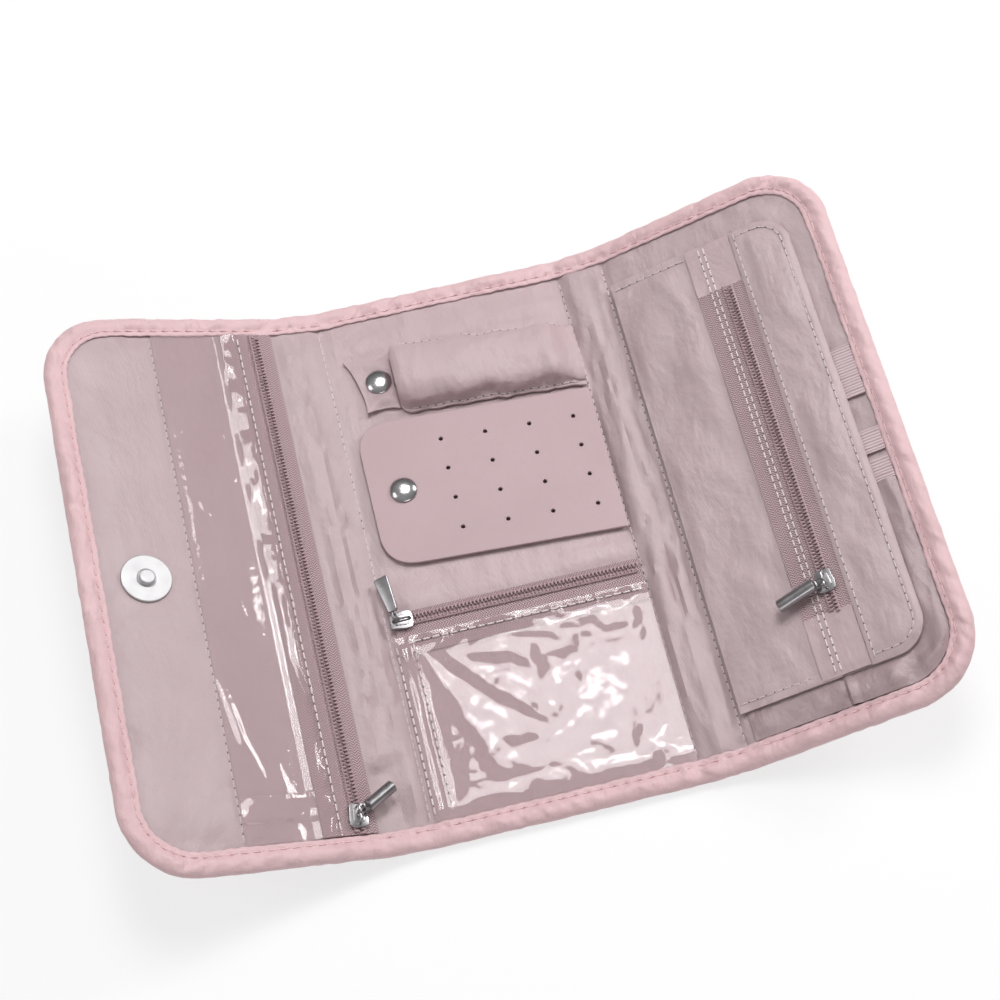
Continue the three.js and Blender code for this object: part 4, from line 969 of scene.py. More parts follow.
ZIPS = {
    "long_zip": dict(at=(LEFT_CREASE - 7.55, 0.0, FACE + TAPE_STANDOFF), turn=0, body="left_flap",
                     ends=(-99.25, 99.25), left=("outer", 12.75), right=("inner", 6.65),
                     tape=tape_upright),
    "small_zip": dict(at=(LEFT_SEAM, -25.0, FACE + TAPE_STANDOFF), turn=-90, body="centre_panel",
                      ends=(2.4, 92.2), left=("upper", 3.45), right=("lower", 12.75),
                      tape=tape_level),
    "page_zip": dict(at=(PAGE_AT[0] + 42.3, PAGE_AT[1], PAGE_AT[2] + 1.6), turn=0, body="page",
                     ends=(-66.0, 68.0), left=("wide", 11.8), right=("narrow", 11.8),
                     tape=tape_upright),
}
for number, (name, facts) in enumerate(ZIPS.items()):
    body, place = facts["body"], (facts["at"], facts["turn"])
    for side, (half, width) in ((-1, facts["left"]), (1, facts["right"])):
        cloth = tape_strip(side * 0.06, side * width, *facts["ends"], 90 + number)
        mounted(body, name + "_tape_cloth_" + half, cloth, facts["tape"], name + "_tape_" + half,
                "zip_tape", *place)
        mounted(body, name + "_coil_row_" + half, coil(side, *facts["ends"]), coil_nylon,
                name + "_coil_" + half, "zip_coil", *place)
print("zips wound:", list(ZIPS))

# %% [markdown]
# Small metal parts come from two ways of working. Turned ones, such as snap caps, are a profile
# spun round an axis. Cast flat ones, such as a slider's plate, are an outline raised between two
# heights with its edges eased, because a real casting has no knife edges and catches the light
# along them.

# %% Cast and turned shapes


def rounded(corners, radius, steps=6):
    """An outline with its corners rounded; radius is one number or one for each corner."""
    corners = np.asarray(corners, float)
    radius = np.broadcast_to(np.asarray(radius, float), (len(corners),))
    points = []
    for k, corner in enumerate(corners):
        before, after = corners[k - 1] - corner, corners[(k + 1) % len(corners)] - corner
        start = corner + before / np.linalg.norm(before) * radius[k]
        end = corner + after / np.linalg.norm(after) * radius[k]
        for share in np.linspace(0, 1, steps):
            points.append((1 - share) ** 2 * start + 2 * share * (1 - share) * corner
                          + share ** 2 * end)
    return np.array(points)


def plate(outline, low, high, ease_by=0.2, steps=3):
    """An outline raised from low to high, with its edges eased."""
    outline = np.asarray(outline, float)
    along = np.roll(outline, -1, axis=0) - np.roll(outline, 1, axis=0)
    area = np.sum(outline[:, 0] * np.roll(outline[:, 1], -1)
                  - outline[:, 1] * np.roll(outline[:, 0], -1))
    inward = np.stack([-along[:, 1], along[:, 0]], axis=1) * np.sign(area)
    inward /= np.maximum(np.linalg.norm(inward, axis=1, keepdims=True), 1e-9)
    rings = []
    for start, way, turns in ((low, 1, (0, math.pi / 2)), (high, -1, (math.pi / 2, 0))):
        for turn in np.linspace(*turns, steps + 1):
            inset = outline + inward * ease_by * (1 - math.sin(turn))
            rings.append(stacked(*inset.T, start + way * ease_by * (1 - math.cos(turn))))
    return loft(rings)


RING_STEPS, WIRE_SIDES = 24, 8


def ring_link(centre, across, along, thick, normal="y"):
    """A small oval wire ring; normal names the axis that it turns about."""
    angle = np.linspace(0, 2 * math.pi, RING_STEPS, endpoint=False)
    one, two = across * np.cos(angle), along * np.sin(angle)
    path = {"y": stacked(one, 0, two), "z": stacked(one, two, 0)}[normal] + np.array(centre)
    middle = path.mean(axis=0)
    following = np.roll(path, -1, axis=0) - np.roll(path, 1, axis=0)
    following /= np.linalg.norm(following, axis=1, keepdims=True)
    outward = path - middle
    outward -= np.sum(outward * following, axis=1, keepdims=True) * following
    outward /= np.linalg.norm(outward, axis=1, keepdims=True)
    over = np.cross(following, outward)
    round_wire = np.linspace(0, 2 * math.pi, WIRE_SIDES, endpoint=False)
    rings = path[:, None] + thick * (np.cos(round_wire)[None, :, None] * outward[:, None]
                                     + np.sin(round_wire)[None, :, None] * over[:, None])
    points, faces = loft(np.concatenate([rings, rings[:1]]), capped=False)
    count = RING_STEPS * WIRE_SIDES
    return points[:count], [[corner % count for corner in face] for face in faces]


SLIDER = rounded([(-2.6, -4.2), (2.6, -4.2), (3.5, 1.3), (3.3, 3.6), (1.5, 4.2), (-1.5, 4.2),
                  (-3.3, 3.6), (-3.5, 1.3)], 0.8)


def slider_shape(rod_level):
    """Slider: two plates joined by a neck, side walls, and a bridge for the pull."""
    top = plate(SLIDER, 1.8, 2.35, 0.22)
    waist = plate(SLIDER * 0.62, 2.28, 2.62, 0.2)
    foot = plate(SLIDER * 0.93, -0.55, -0.16, 0.12)
    neck = plate(rounded([(-0.3, 1.4), (0.3, 1.4), (0.3, 3.6), (-0.3, 3.6)], 0.1, 2), -0.3, 1.9, 0.05)
    walls = []
    for side in (-1, 1):
        outline = [(side * 2.22, -4.1), (side * 2.6, -4.1), (side * 3.45, 1.2), (side * 3.0, 1.2)]
        walls.append(plate(rounded(outline, 0.12, 2), 0.6, 1.9, 0.08))
    bridge = curve_through([(0, -3.1, 2.2), (0, -3.05, rod_level * 0.75), (0, -2.5, rod_level + 0.05),
                            (0, 0, rod_level + 0.12), (0, 2.5, rod_level + 0.05),
                            (0, 3.05, rod_level * 0.75), (0, 3.1, 2.2)], 5)
    return joined([top, waist, foot, neck, *walls, tube(bridge, 0.42, (1, 0, 0), 10)])


def pull_shape(rod_level, slip, degrees, length, radius=None, width=None, thick=None):
    """Pull: an eye round the bridge, a link, and a barrel or a flat tab, turned its own way."""
    eye = ring_link((0, 0, 0), 1.05, 1.05, 0.34)
    link = ring_link((0, 2.1, 0), 0.75, 1.55, 0.3, normal="z")
    if radius:
        grip = length - 3.3
        edge = radius / 6
        points, faces = lathe([
            (0, 0), (radius - 2.2 * edge, 0), (radius - edge, 0.15), (radius, edge + 0.1),
            (radius, grip - edge), (radius - edge, grip - 0.1), (radius * 0.72, grip),
            (radius * 0.66, grip - 0.35), (0, grip - 0.4)], 36)
        laid = np.stack([points[:, 0], points[:, 2] + 3.3, -points[:, 1]], axis=1)
        collar = ring_link((0, 3.3, 0), radius * 0.55, 0.5, 0.3, normal="z")
        body = joined([(laid, faces), collar])
    else:
        outline = rounded([(-width * 0.32, 3.2), (width * 0.32, 3.2), (width / 2, length),
                           (-width / 2, length)], [1.0, 1.0, 0.7, 0.7])
        points, faces = plate(outline, -thick / 2, thick / 2, 0.3)
        lean = math.radians(16)
        points = np.stack([points[:, 0] * math.cos(lean) - points[:, 2] * math.sin(lean), points[:, 1],
                           points[:, 0] * math.sin(lean) + points[:, 2] * math.cos(lean)], axis=1)
        body = (points, faces)
    return placed(joined([eye, link, body]), 0, slip, rod_level, degrees)


SLIDERS = {
    "long_zip": (-93.2, 180, 4.66, dict(slip=0.0, degrees=-58, length=15.8, radius=2.2)),
    "small_zip": (5.2, 0, 3.73, dict(slip=-1.7, degrees=97.5, length=17.0, width=5.4, thick=1.4)),
    "page_zip": (-54.6, 180, 4.76, dict(slip=0.0, degrees=103, length=18.0, radius=2.3)),
}
for name, (along, turn_by, rod_level, pull) in SLIDERS.items():
    for part, shape in (("_slider", placed(slider_shape(rod_level), 0, along, 0, turn_by)),
                        ("_pull", placed(pull_shape(rod_level, **pull), 0, along, 0))):
        mounted(name + part, name + part + "_casting", shape, zip_nickel, name + part,
                "polished_metal", ZIPS[name]["at"], ZIPS[name]["turn"], crisp=34)
print("sliders and pulls:", list(SLIDERS))

# %% [markdown]
# The snap caps are shallow domes pressed from thin sheet, with a rolled rim. Under each one is
# the socket that clicks over a stud on the lining. The magnetic fastener is a flat plain disc
# with a post in the middle, and a narrow groove round the post.

# %% Snaps and magnet
CARD_AT = (RIGHT_SEAM - 0.4, 20.3, FACE + 1.35)
ROLL_AT = (RIGHT_SEAM - 0.4, 65.0, FACE + 0.25)
CARD_SLOPE = math.tan(math.radians(3.3))
ROLL_SLOPE = math.tan(math.radians(4.6))
CARD_LENGTH, CARD_THICKNESS = 88.0, 1.1
ROLL_LENGTH, TAB_START = 69.4, 69.65
CARD_SNAP_X = 12.3 - CARD_LENGTH
TAB_SNAP_X = -TAB_START - 5.6
ON_LINING = FACE + 0.15
STUD = [(0, 0), (4.2, 0), (4.4, 0.12), (4.3, 0.34), (3.9, 0.4), (1.7, 0.42), (1.4, 0.5),
        (1.5, 0.95), (1.3, 1.2), (0, 1.2)]
MAGNET = [(0, 0), (8.7, 0), (9.0, 0.3), (9.0, 1.25), (8.88, 1.44), (8.6, 1.5), (8.3, 1.5),
          (3.9, 1.5), (3.6, 1.5), (3.4, 1.36), (3.1, 1.1), (2.82, 1.1), (2.74, 1.3),
          (2.7, 2.7), (2.55, 2.9), (2.3, 2.97), (2.0, 3.0), (0.4, 3.0), (0, 3.0)]


def cap_profile(cloth_low, cloth_top):
    """Cap, neck and socket, from the bore's end outward and up over the dome."""
    socket_top, dome = cloth_low - 0.2, cloth_top + 0.2
    profile = [(0, cloth_top), (1.7, cloth_top), (1.7, socket_top - 0.4), (4.0, socket_top - 0.4),
               (4.2, socket_top - 0.2), (4.0, socket_top), (2.1, socket_top), (2.1, dome),
               (4.5, dome), (4.85, dome + 0.12), (4.95, dome + 0.34), (4.85, dome + 0.55)]
    for angle in np.linspace(0.35, math.pi / 2, 9):
        profile.append((4.85 * math.cos(angle), dome + 0.1 + 1.8 * math.sin(angle)))
    profile[-1] = (0, profile[-1][1])
    return profile


card_snap = (CARD_AT[0] + CARD_SNAP_X, CARD_AT[1] - CARD_SNAP_X * CARD_SLOPE)
tab_snap = (ROLL_AT[0] + TAB_SNAP_X, ROLL_AT[1] + TAB_START * ROLL_SLOPE)
magnet_at = (LEFT_CREASE - 64.6, 0)
for name, turned_shape, material, (x, y), z, body, node in (
        ("card_cap_dome", lathe(cap_profile(0, CARD_THICKNESS)), bright_nickel, card_snap,
         CARD_AT[2], "earring_card", "card_snap_cap"),
        ("tab_cap_dome", lathe(cap_profile(1.1, 2.1)), bright_nickel, tab_snap,
         ROLL_AT[2], "ring_roll", "ring_roll_snap_cap"),
        ("card_stud_post", lathe(STUD), bright_nickel, card_snap,
         ON_LINING, "centre_panel", "card_snap_stud"),
        ("tab_stud_post", lathe(STUD), bright_nickel, tab_snap,
         ON_LINING, "centre_panel", "ring_roll_snap_stud"),
        ("magnet_post_disc", lathe(MAGNET, 64), turned_steel, magnet_at,
         ON_LINING, "left_flap", "magnet_post_half")):
    mounted(body, name, turned_shape, material, node, "polished_metal", (x, y, z), crisp=50)
socket_materials = frame["nodes"]["magnet_socket_half"].data.materials
socket_materials.clear()
socket_materials.append(turned_steel)
print("caps at", [round(v, 1) for v in card_snap + tab_snap])

# %% [markdown]
# The clear pockets are soft vinyl sheet sewn along its edges. Vinyl that has been stitched and
# folded never lies flat: it bellies between its seams, ripples where the thread gathers it, and
# keeps creases that run out from a corner. The long bright streaks in the photograph are the
# window's reflection in those waves, so the waves are made as shape.

# %% Clear pockets
VINYL = 0.3
WINDOW_FROM, WINDOW_TO = 10.7, 46.9
SMALL_TOP, SMALL_BOTTOM = -30.9, -99.2


def crease_ridge(u, y, middle, half_size, degrees, tall):
    """One long low crease in a sheet."""
    c, t = math.cos(math.radians(degrees)), math.sin(math.radians(degrees))
    over = ((u - middle[0]) * c + (y - middle[1]) * t) / half_size[0]
    along = ((y - middle[1]) * c - (u - middle[0]) * t) / half_size[1]
    return tall * np.exp(-over ** 2 - along ** 4)


u = spread(WINDOW_FROM, WINDOW_TO, 0.7)[:, None]
y = spread(-99.2, 99.2, 1.0)[None, :]
bulge_end = 22.4 + 1.9 * ripple(y / 8.0, 0, 101) - 6.2 * smooth(-y, -14, 82)
bulge = smooth(u, 14.4, 16.0) * (1 - smooth(u, 15.6, bulge_end))
height = FACE + 0.2 + 1.0 * (1 - smooth(u, 20.4, 24.0)) - 0.10 * hump(u - 14.2, 1.1)
height = height + bulge * (1.05 + 0.45 * ripple(y / 6.5, u / 9, 102)
                           + 0.30 * ripple(u / 3.2, y / 3.4, 106))
height = height + smooth(u, 23, 30) * smooth(WINDOW_TO - u, 0, 5) * (
    0.35 + 0.16 * ripple(u / 15, y / 34, 103) + 0.03 * ripple(u / 5, y / 7, 104))
for middle, half_size, degrees, tall in (
        ((40.6, 61), (1.0, 4.5), 10, 0.30), ((27.5, 58), (0.9, 2.6), -20, 0.26),
        ((39.0, 27), (1.3, 4.0), -14, 0.34), ((43.3, -52), (1.1, 14.0), -10, 0.42),
        ((38.5, -70), (0.7, 7.0), -16, 0.26), ((30.0, -80), (0.8, 9.0), -8, 0.24),
        ((25.5, 40), (0.7, 4.0), 12, 0.22), ((33.0, -12), (0.7, 5.0), -12, 0.2)):
    height = height + crease_ridge(u, y, middle, half_size, degrees, tall)
height = height + 0.10 * (1 - smooth(u, 11, 13.5)) * (1 + ripple(y / 6, 0, 105))
height = np.maximum(height, FACE + 0.14 + 1.0 * (1 - smooth(u, 20.4, 21.0)))
window = mounted("left_flap", "long_pocket_window", layer(LEFT_CREASE - u, y, height, height + VINYL),
                 clear_vinyl, "long_pocket_vinyl", "clear_vinyl")

x = spread(LEFT_SEAM + 0.6, RIGHT_SEAM - 0.4, 0.8)[:, None]
y = spread(SMALL_BOTTOM, SMALL_TOP, 0.8)[None, :]
across, down = x - LEFT_SEAM, SMALL_TOP - y
above_binding = y - SMALL_BOTTOM
height = FACE + 0.2 + 1.0 * (1 - smooth(down, 4.6, 25))
inside = (smooth(across, 8.4, 16) * smooth(RIGHT_SEAM - x, 0.4, 13) * smooth(down, 3.4, 14)
          * smooth(above_binding, 0, 12))
corner_angle = np.arctan2(down - 1.5, across - 6.5)
from_corner = np.hypot(down - 1.5, across - 6.5)
fan = ripple(corner_angle * 4.3, from_corner / 38, 111) * smooth(from_corner, 4, 12) * hump(
    from_corner, 40)
height = height + inside * (0.45 + 0.55 * ripple(across / 21, down / 18, 112)
                            + 0.21 * ripple(across / 6.5, down / 5.5, 113)
                            + 0.07 * ripple(across / 2.6, down / 2.2, 117))
height = height + 0.55 * (fan + 0.35) * smooth(across, 7.6, 11) * smooth(down, 2.6, 8) * np.exp(
    -(from_corner / 50) ** 4)
for degrees, near, far, half_width, tall in ((27, 18, 54, 2.6, 1.0), (47, 6, 62, 2.8, 1.3),
                                             (73, 20, 66, 3.2, 1.3), (84, 12, 46, 1.5, 0.7),
                                             (12, 24, 66, 1.6, 0.5)):
    c, t = math.cos(math.radians(degrees)), math.sin(math.radians(degrees))
    along, beside = (across - 8) * c + (down - 2) * t, (across - 8) * t - (down - 2) * c
    beside = beside + 1.2 * ripple(along / 9, degrees, 118)
    envelope = smooth(along, near, near + 10) * smooth(far - along, 0, 28)
    width = half_width * (0.5 + 0.5 * np.sin(math.pi * np.clip((along - near) / (far - near), 0, 1)))
    height = height + tall * envelope * inside ** 0.3 * smooth(beside, -width, width + 0.01) * np.exp(
        -np.maximum(beside, 0) / 14)
hem = smooth(across, 0.6, 1.6) * smooth(9.0 - across, 0, 1.5)
height = height + hem * (0.32 + 0.16 * np.cos(across * 2 * math.pi / 3.1)
                         + 0.20 * ripple(across / 3, down / 8, 114))
height = height + 0.16 * smooth(down, 3, 5) * smooth(12 - down, 0, 5) * (
    1 + ripple(across / 5, down / 4, 115))
height = height + 0.45 * smooth(above_binding, 0.3, 3) * smooth(10 - above_binding, 0, 6) * (
    1 + ripple(across / 5.5, down / 7, 116))
sewn_down = hump(down - 2.5, 1.0) * (0.6 + 0.4 * np.cos(across * 2 * math.pi / 3.3))
height = height + (0.22 * ripple(across / 3.4, down / 2.4, 119) - 0.38 * sewn_down) * (
    1 - smooth(down, 4.0, 6.0))
height = np.maximum(height, FACE + 0.14)
window = mounted("centre_panel", "small_pocket_window", layer(x, y, height, height + VINYL),
                 clear_vinyl, "small_pocket_vinyl", "clear_vinyl")

y = spread(-98, 98, 1.0)
sew("long_pocket_stitches", [stacked(LEFT_CREASE - 14.2, y, 5.25)], pale_thread, "left_flap",
    slot="clear_vinyl", pitch=3.3)
x = spread(LEFT_SEAM + 6.0, RIGHT_SEAM - 1.5, 1.0)
y = spread(-98, -33, 1.0)
steps = [-98, -42, -36, -33]
rows = [stacked(x, -33.4, 5.28),
        stacked(LEFT_SEAM + 7.4, y, np.interp(y, steps, [4.6, 4.65, 5.35, 5.4])),
        stacked(LEFT_SEAM + 1.3, y, np.interp(y, steps, [4.5, 4.55, 5.2, 5.3]))]
sew("small_pocket_stitches", rows, pale_thread, "centre_panel", slot="clear_vinyl", pitch=3.3)
print("clear pockets sewn")

# %% [markdown]
# The earring card is a stiff piece of leathercloth with sixteen punched holes. A flat closed
# curve with the holes inside it fills itself, so the holes are real, and the curve's own bevel
# eases the cut edges. It hinges at the right seam and its cap clicks onto the lining.

# %% Earring card
CARD_HALF = 29.25
HOLE_RADIUS, HOLE_SIDES = 0.75, 20
HOLE_STEP_X, HOLE_STEP_Y = 16.45, 12.2


def filled_plate(outlines, thickness, ease_by):
    """A flat plate with holes, from an outer outline and inner ones, in flat millimetres."""
    data = bpy.data.curves.new("plate_outline", "CURVE")
    data.dimensions = "2D"
    data.fill_mode = "BOTH"
    data.extrude = thickness / 2 - ease_by
    data.bevel_depth = ease_by
    data.bevel_resolution = 2
    data.offset = -ease_by
    for outline in outlines:
        spline = data.splines.new("POLY")
        spline.points.add(len(outline) - 1)
        for point, (px, py) in zip(spline.points, outline):
            point.co = (px, py, 0, 1)
        spline.use_cyclic_u = True
    carrier = bpy.data.objects.new("plate_outline", data)
    bpy.context.scene.collection.objects.link(carrier)
    bpy.context.view_layer.update()
    seen_now = carrier.evaluated_get(bpy.context.evaluated_depsgraph_get())
    mesh = bpy.data.meshes.new_from_object(seen_now)
    work = bmesh.new()
    work.from_mesh(mesh)
    bmesh.ops.remove_doubles(work, verts=work.verts, dist=1e-4)
    points = np.array([v.co for v in work.verts]) + np.array([0, 0, thickness / 2])
    faces = [[v.index for v in face.verts] for face in work.faces]
    work.free()
    bpy.data.objects.remove(carrier)
    bpy.data.curves.remove(data)
    bpy.data.meshes.remove(mesh)
    return points, faces


rise = CARD_LENGTH * CARD_SLOPE
outlines = [rounded([(0, -CARD_HALF), (0, CARD_HALF), (-CARD_LENGTH, CARD_HALF + rise),
                     (-CARD_LENGTH, -CARD_HALF + rise)], [0.5, 0.5, 13.0, 13.0], steps=14)]
angle = np.linspace(0, 2 * math.pi, HOLE_SIDES, endpoint=False)
hole = HOLE_RADIUS * stacked(np.cos(angle), np.sin(angle), 0)[:, :2]
for row in range(4):
    for column in range(4):
        hole_x = -8.6 - column * HOLE_STEP_X
        outlines.append(hole + [hole_x, (row - 1.5) * HOLE_STEP_Y - hole_x * CARD_SLOPE])
mounted("earring_card", "earring_card_leathercloth", filled_plate(outlines, CARD_THICKNESS, 0.28),
        pressed_card, "earring_card", "card_leather", CARD_AT, crisp=12)
print("card with", len(outlines) - 1, "holes")

# %% [markdown]
# The ring roll is a stuffed satin tube for rings. It is sewn flat at the right seam and closed
# round its filling at the free end, where a short tab with a snap cap holds it down. The long
# seam is gathered along a flat welt at its front edge, so small folds run up the tube from there.
# It is lofted as rings of a rounded section, and the folds are moves of the rings' points.

# %% Ring roll
ROLL_WIDTH, ROLL_HEIGHT = 23.6, 10.6
SEAM_HEIGHT, TAB_END_HEIGHT = 4.2, 8.9
stations = spread(-ROLL_LENGTH, 0, 0.75)
angle = np.linspace(0, math.pi, 33)
rings = []
for x_at in stations:
    to_seam = float(smooth(-x_at, 0, 13))
    to_tab = float(smooth(ROLL_LENGTH + x_at, -2.5, 3.5))
    tall = SEAM_HEIGHT + (ROLL_HEIGHT - SEAM_HEIGHT) * to_seam
    tall = (tall - (ROLL_HEIGHT - TAB_END_HEIGHT) * (1 - to_tab)) * (
        1 + 0.05 * ripple(x_at / 11, 0.0, 121))
    half = ROLL_WIDTH / 2 * (1 + 0.045 * ripple(x_at / 5, 0.0, 122)) * (0.94 + 0.06 * to_tab)
    waist = tall * 0.4
    across = np.sign(np.cos(angle)) * np.abs(np.cos(angle)) ** 0.8
    up = np.sin(angle) ** 0.8
    gather = np.exp(-angle[::-1] / 0.75) * 0.75 + np.exp(-angle / 0.4) * 0.35
    fold_in = gather * (0.95 * ripple(x_at / 2.7, angle / 1.1, 123)
                        + 0.5 * ripple(x_at / 1.5, angle / 0.8, 124))
    fold_in = fold_in + 0.45 * ripple(x_at / 8 + angle, angle / 0.5, 125)
    swollen = 1 + fold_in / max(tall, half) * 1.2
    top_x, top_z = half * across * swollen, waist + (tall - waist) * up * swollen
    welt = 1.9 + 0.35 * ripple(x_at / 3.0, 0.0, 126)
    lip = 0.25 * ripple(x_at / 2.6, 0.0, 127)
    low_side = [(-half - welt * 0.5, 1.75 + lip), (-half - welt, 1.45 + lip),
                (-half - welt - 0.2, 1.0 + lip), (-half - welt, 0.55 + max(lip, -0.3)),
                (-half - 0.4, 0.3), (-half * 0.8, 0.02), (0, 0.0), (half * 0.8, 0.02),
                (half * 0.97, waist * 0.45)]
    low_y, low_z = np.transpose(low_side)
    ring_y, ring_z = np.concatenate([top_x, low_y]), np.concatenate([top_z, low_z])
    rings.append(stacked(x_at, ring_y - x_at * ROLL_SLOPE, ring_z))
rings = np.array(rings)
for step, share in ((0, 0.86), (1, 0.965)):
    middle = rings[step].mean(axis=0)
    rings[step] = middle + (rings[step] - middle) * np.array([1, share, share])
rings[..., 2] = np.maximum(rings[..., 2], 0.0)
roll = mounted("ring_roll", "ring_roll_satin_tube", loft(rings), lit_satin, "ring_roll_cushion",
               "lining_cloth", ROLL_AT)

TAB_LENGTH, TAB_HALF = 13.0, 12
x = np.linspace(-ROLL_LENGTH - 0.2, -TAB_START - TAB_LENGTH, 15)[:, None]
y = np.linspace(-TAB_HALF, TAB_HALF, 25)[None, :]
along, beside = (-x - ROLL_LENGTH - 0.2) / TAB_LENGTH, y / TAB_HALF
from_cap = np.hypot(x - TAB_SNAP_X, y)
from_edge = np.minimum(np.minimum(TAB_HALF - np.abs(y), TAB_LENGTH * (1 - along)), 6)
puff = 0.55 * smooth(from_edge, 0, 3) * (1 - hump(from_cap, 6.5))
crumple = 0.7 * ripple(along * 2.2, y / 2.8, 131) * smooth(from_cap, 4.6, 7.5)
crumple = crumple + 1.5 * smooth(np.abs(beside), 0.75, 1.0) * along * ripple(y / 9, along, 132)
spokes = ripple(np.arctan2(y, x - TAB_SNAP_X) * 2.4, from_cap / 7, 133)
crumple = crumple + 0.55 * spokes * smooth(from_cap, 5, 7.5)
low = 1.3 + np.maximum(crumple, -0.6)
tab_x = x - 1.6 * along ** 2 * np.abs(beside) ** 3 - along * beside * 2.4
tab_y = y * (1 - 0.10 * np.sin(math.pi * along)) + TAB_START * ROLL_SLOPE
tab = mounted("ring_roll", "ring_roll_satin_tab", layer(tab_x, tab_y, low, low + 0.72 + puff),
              lit_satin, "ring_roll_tab", "lining_cloth", ROLL_AT)
rows = [rings[4:-3, corner] + [0, 0, lift] + np.array(ROLL_AT)
        for corner, lift in ((33, 0.1), (2, 0.12))]
sew("ring_roll_stitches", rows, seam_thread, "ring_roll", pitch=3.0, length=2.4)
print("ring roll", ROLL_LENGTH, "mm long")

# %% [markdown]
# On the right flap two bands of woven elastic hold necklaces, and a shallow satin pocket with an
# elastic mouth catches their ends. The bands lie nearly flat. The pocket is loose cloth, so it is
# given deep soft folds where it shows beyond the page. Its satin is a darker copy of the lining's,
# painted shade for the shadow that lies on it beside the page.

# %% Necklace keepers and pocket
POCKET_INSET = 8.25
POCKET_TOP, POCKET_BOTTOM = -27.2, -99.2
KEEPER_LEFT, KEEPER_RIGHT = RIGHT_CREASE + 4.0, RIGHT_END - POCKET_INSET
WEBBING, POCKET_CLOTH = 0.5, 0.4
for name, middle, width, seed in (("necklace_elastic_upper", 16.8, 20.3, 141),
                                  ("necklace_elastic_lower", -11.5, 9.0, 142),
                                  ("necklace_pocket_elastic", -22.6, 8.8, 143)):
    x = spread(KEEPER_LEFT, KEEPER_RIGHT, 1.2)[:, None]
    y = spread(middle - width / 2, middle + width / 2, 0.8)[None, :]
    height = FACE + 0.24 + 0.16 * (1 + ripple(x / 7, y / 9, seed)) * smooth(KEEPER_RIGHT - x, 0, 6)
    height = height + 0.14 * (1 + np.sin((y - middle) * 2 * math.pi / 2.6))
    band = mounted("right_flap", name + "_webbing", layer(x, y, height, height + WEBBING),
                   ribbed_elastic, name, "elastic_band")

reach = CORNER - POCKET_INSET
x = np.concatenate([spread(KEEPER_LEFT, RIGHT_END - CORNER, 1.2),
                    RIGHT_END - CORNER + reach * np.sin(np.linspace(0, math.pi / 2, 22))[1:]])
from_end = RIGHT_END - x
bend = np.clip(CORNER - from_end, 0, reach)
lowest = -(HALF_LENGTH - CORNER + np.sqrt(reach ** 2 - bend ** 2))
lowest = np.where(from_end >= CORNER, POCKET_BOTTOM, lowest)[:, None]
share = np.linspace(0, 1, 70)[None, :]
x = x[:, None]
y = lowest + (POCKET_TOP - lowest) * share
shown = smooth(x, RIGHT_CREASE + 69, RIGHT_CREASE + 74) + (1 - smooth(y, -93, -89)) * smooth(
    x, RIGHT_CREASE + 3, RIGHT_CREASE + 9)
shown = np.clip(shown, 0, 1) * smooth(KEEPER_RIGHT - x, 0, 2.5) * smooth(y - lowest, 0, 3)
drape = 1.3 * ripple((x - 0.25 * y) / 6.5, (y + 0.5 * x) / 26, 151) + 0.6 * ripple(
    (x + 0.3 * y) / 3.8, y / 15, 152)
height = FACE + 0.25 + 0.3 * (1 + ripple(x / 12, y / 15, 153)) + shown * np.maximum(1.2 + drape, -0.2)
slit = (1 - smooth(y, -92, -86)) * (1.5 * hump(x - 103.8, 0.9) - 1.3 * hump(x - 102, 0.6))
height = np.maximum(height + slit, FACE + 0.2)
pocket = mounted("right_flap", "necklace_pocket_satin", layer(x, y, height, height + POCKET_CLOTH),
                 shaded_pocket_satin, "necklace_pocket", "lining_cloth")
print("keepers and pocket on the right flap")

# %% [markdown]
# The page is a flat pocket that turns like a leaf. Its back and its two fronts are single layers
# of satin with turned and sewn edges. The zip lies between the fronts: the wide front runs under
# the zip's tape and the narrow one folds over it. Each layer is a thin sheet with gentle waves,
# rolled edges and a hem line, and its corners are cut round.

# %% Page
PAGE_WIDTH, PAGE_HALF, PAGE_CORNER = 69.6, 88.0, 12.0
PAGE_CLOTH = 0.45
PAGE_ROWS = 150


def page_grid(low, high):
    """Local x and y of a page layer, with round outer corners."""
    columns = spread(low, high, 1.1)
    if high == PAGE_WIDTH:
        inner = PAGE_WIDTH - PAGE_CORNER
        arc = inner + PAGE_CORNER * np.sin(np.linspace(0, math.pi / 2, 20))[1:]
        columns = np.concatenate([spread(low, inner, 1.1), arc])
    bend = np.clip(columns - (PAGE_WIDTH - PAGE_CORNER), 0, PAGE_CORNER)
    half = PAGE_HALF - PAGE_CORNER + np.sqrt(np.maximum(PAGE_CORNER ** 2 - bend ** 2, 0))
    rows = np.linspace(-1, 1, PAGE_ROWS)
    return np.broadcast_to(columns[:, None], (len(columns), PAGE_ROWS)), half[:, None] * rows


def page_inward(x, y):
    """How far a page point lies inside the page's outer edge."""
    from_side, from_end = PAGE_WIDTH - x, PAGE_HALF - np.abs(y)
    in_corner = (from_side < PAGE_CORNER) & (from_end < PAGE_CORNER)
    return np.where(in_corner, PAGE_CORNER - np.hypot(PAGE_CORNER - from_side, PAGE_CORNER - from_end),
                    np.minimum(from_side, from_end))


def page_waves(x, y, seed):
    """Soft waves of a page layer, stronger by the sewn edge."""
    inward = page_inward(x, y)
    gather = ripple((x + y) / 4.2, inward / 7, seed) * np.exp(-np.maximum(inward - 2, 0) / 5)
    drag = ripple((x - 0.5 * y) / 20, (y + 0.5 * x) / 9, seed + 3)
    return (0.30 * ripple((x + 0.3 * y) / 15, (y - 0.3 * x) / 34, seed + 1) + 0.34 * gather
            + 0.22 * drag + 0.14 * ripple(x / 6, y / 13, seed + 2)) * smooth(inward, 0, 2)


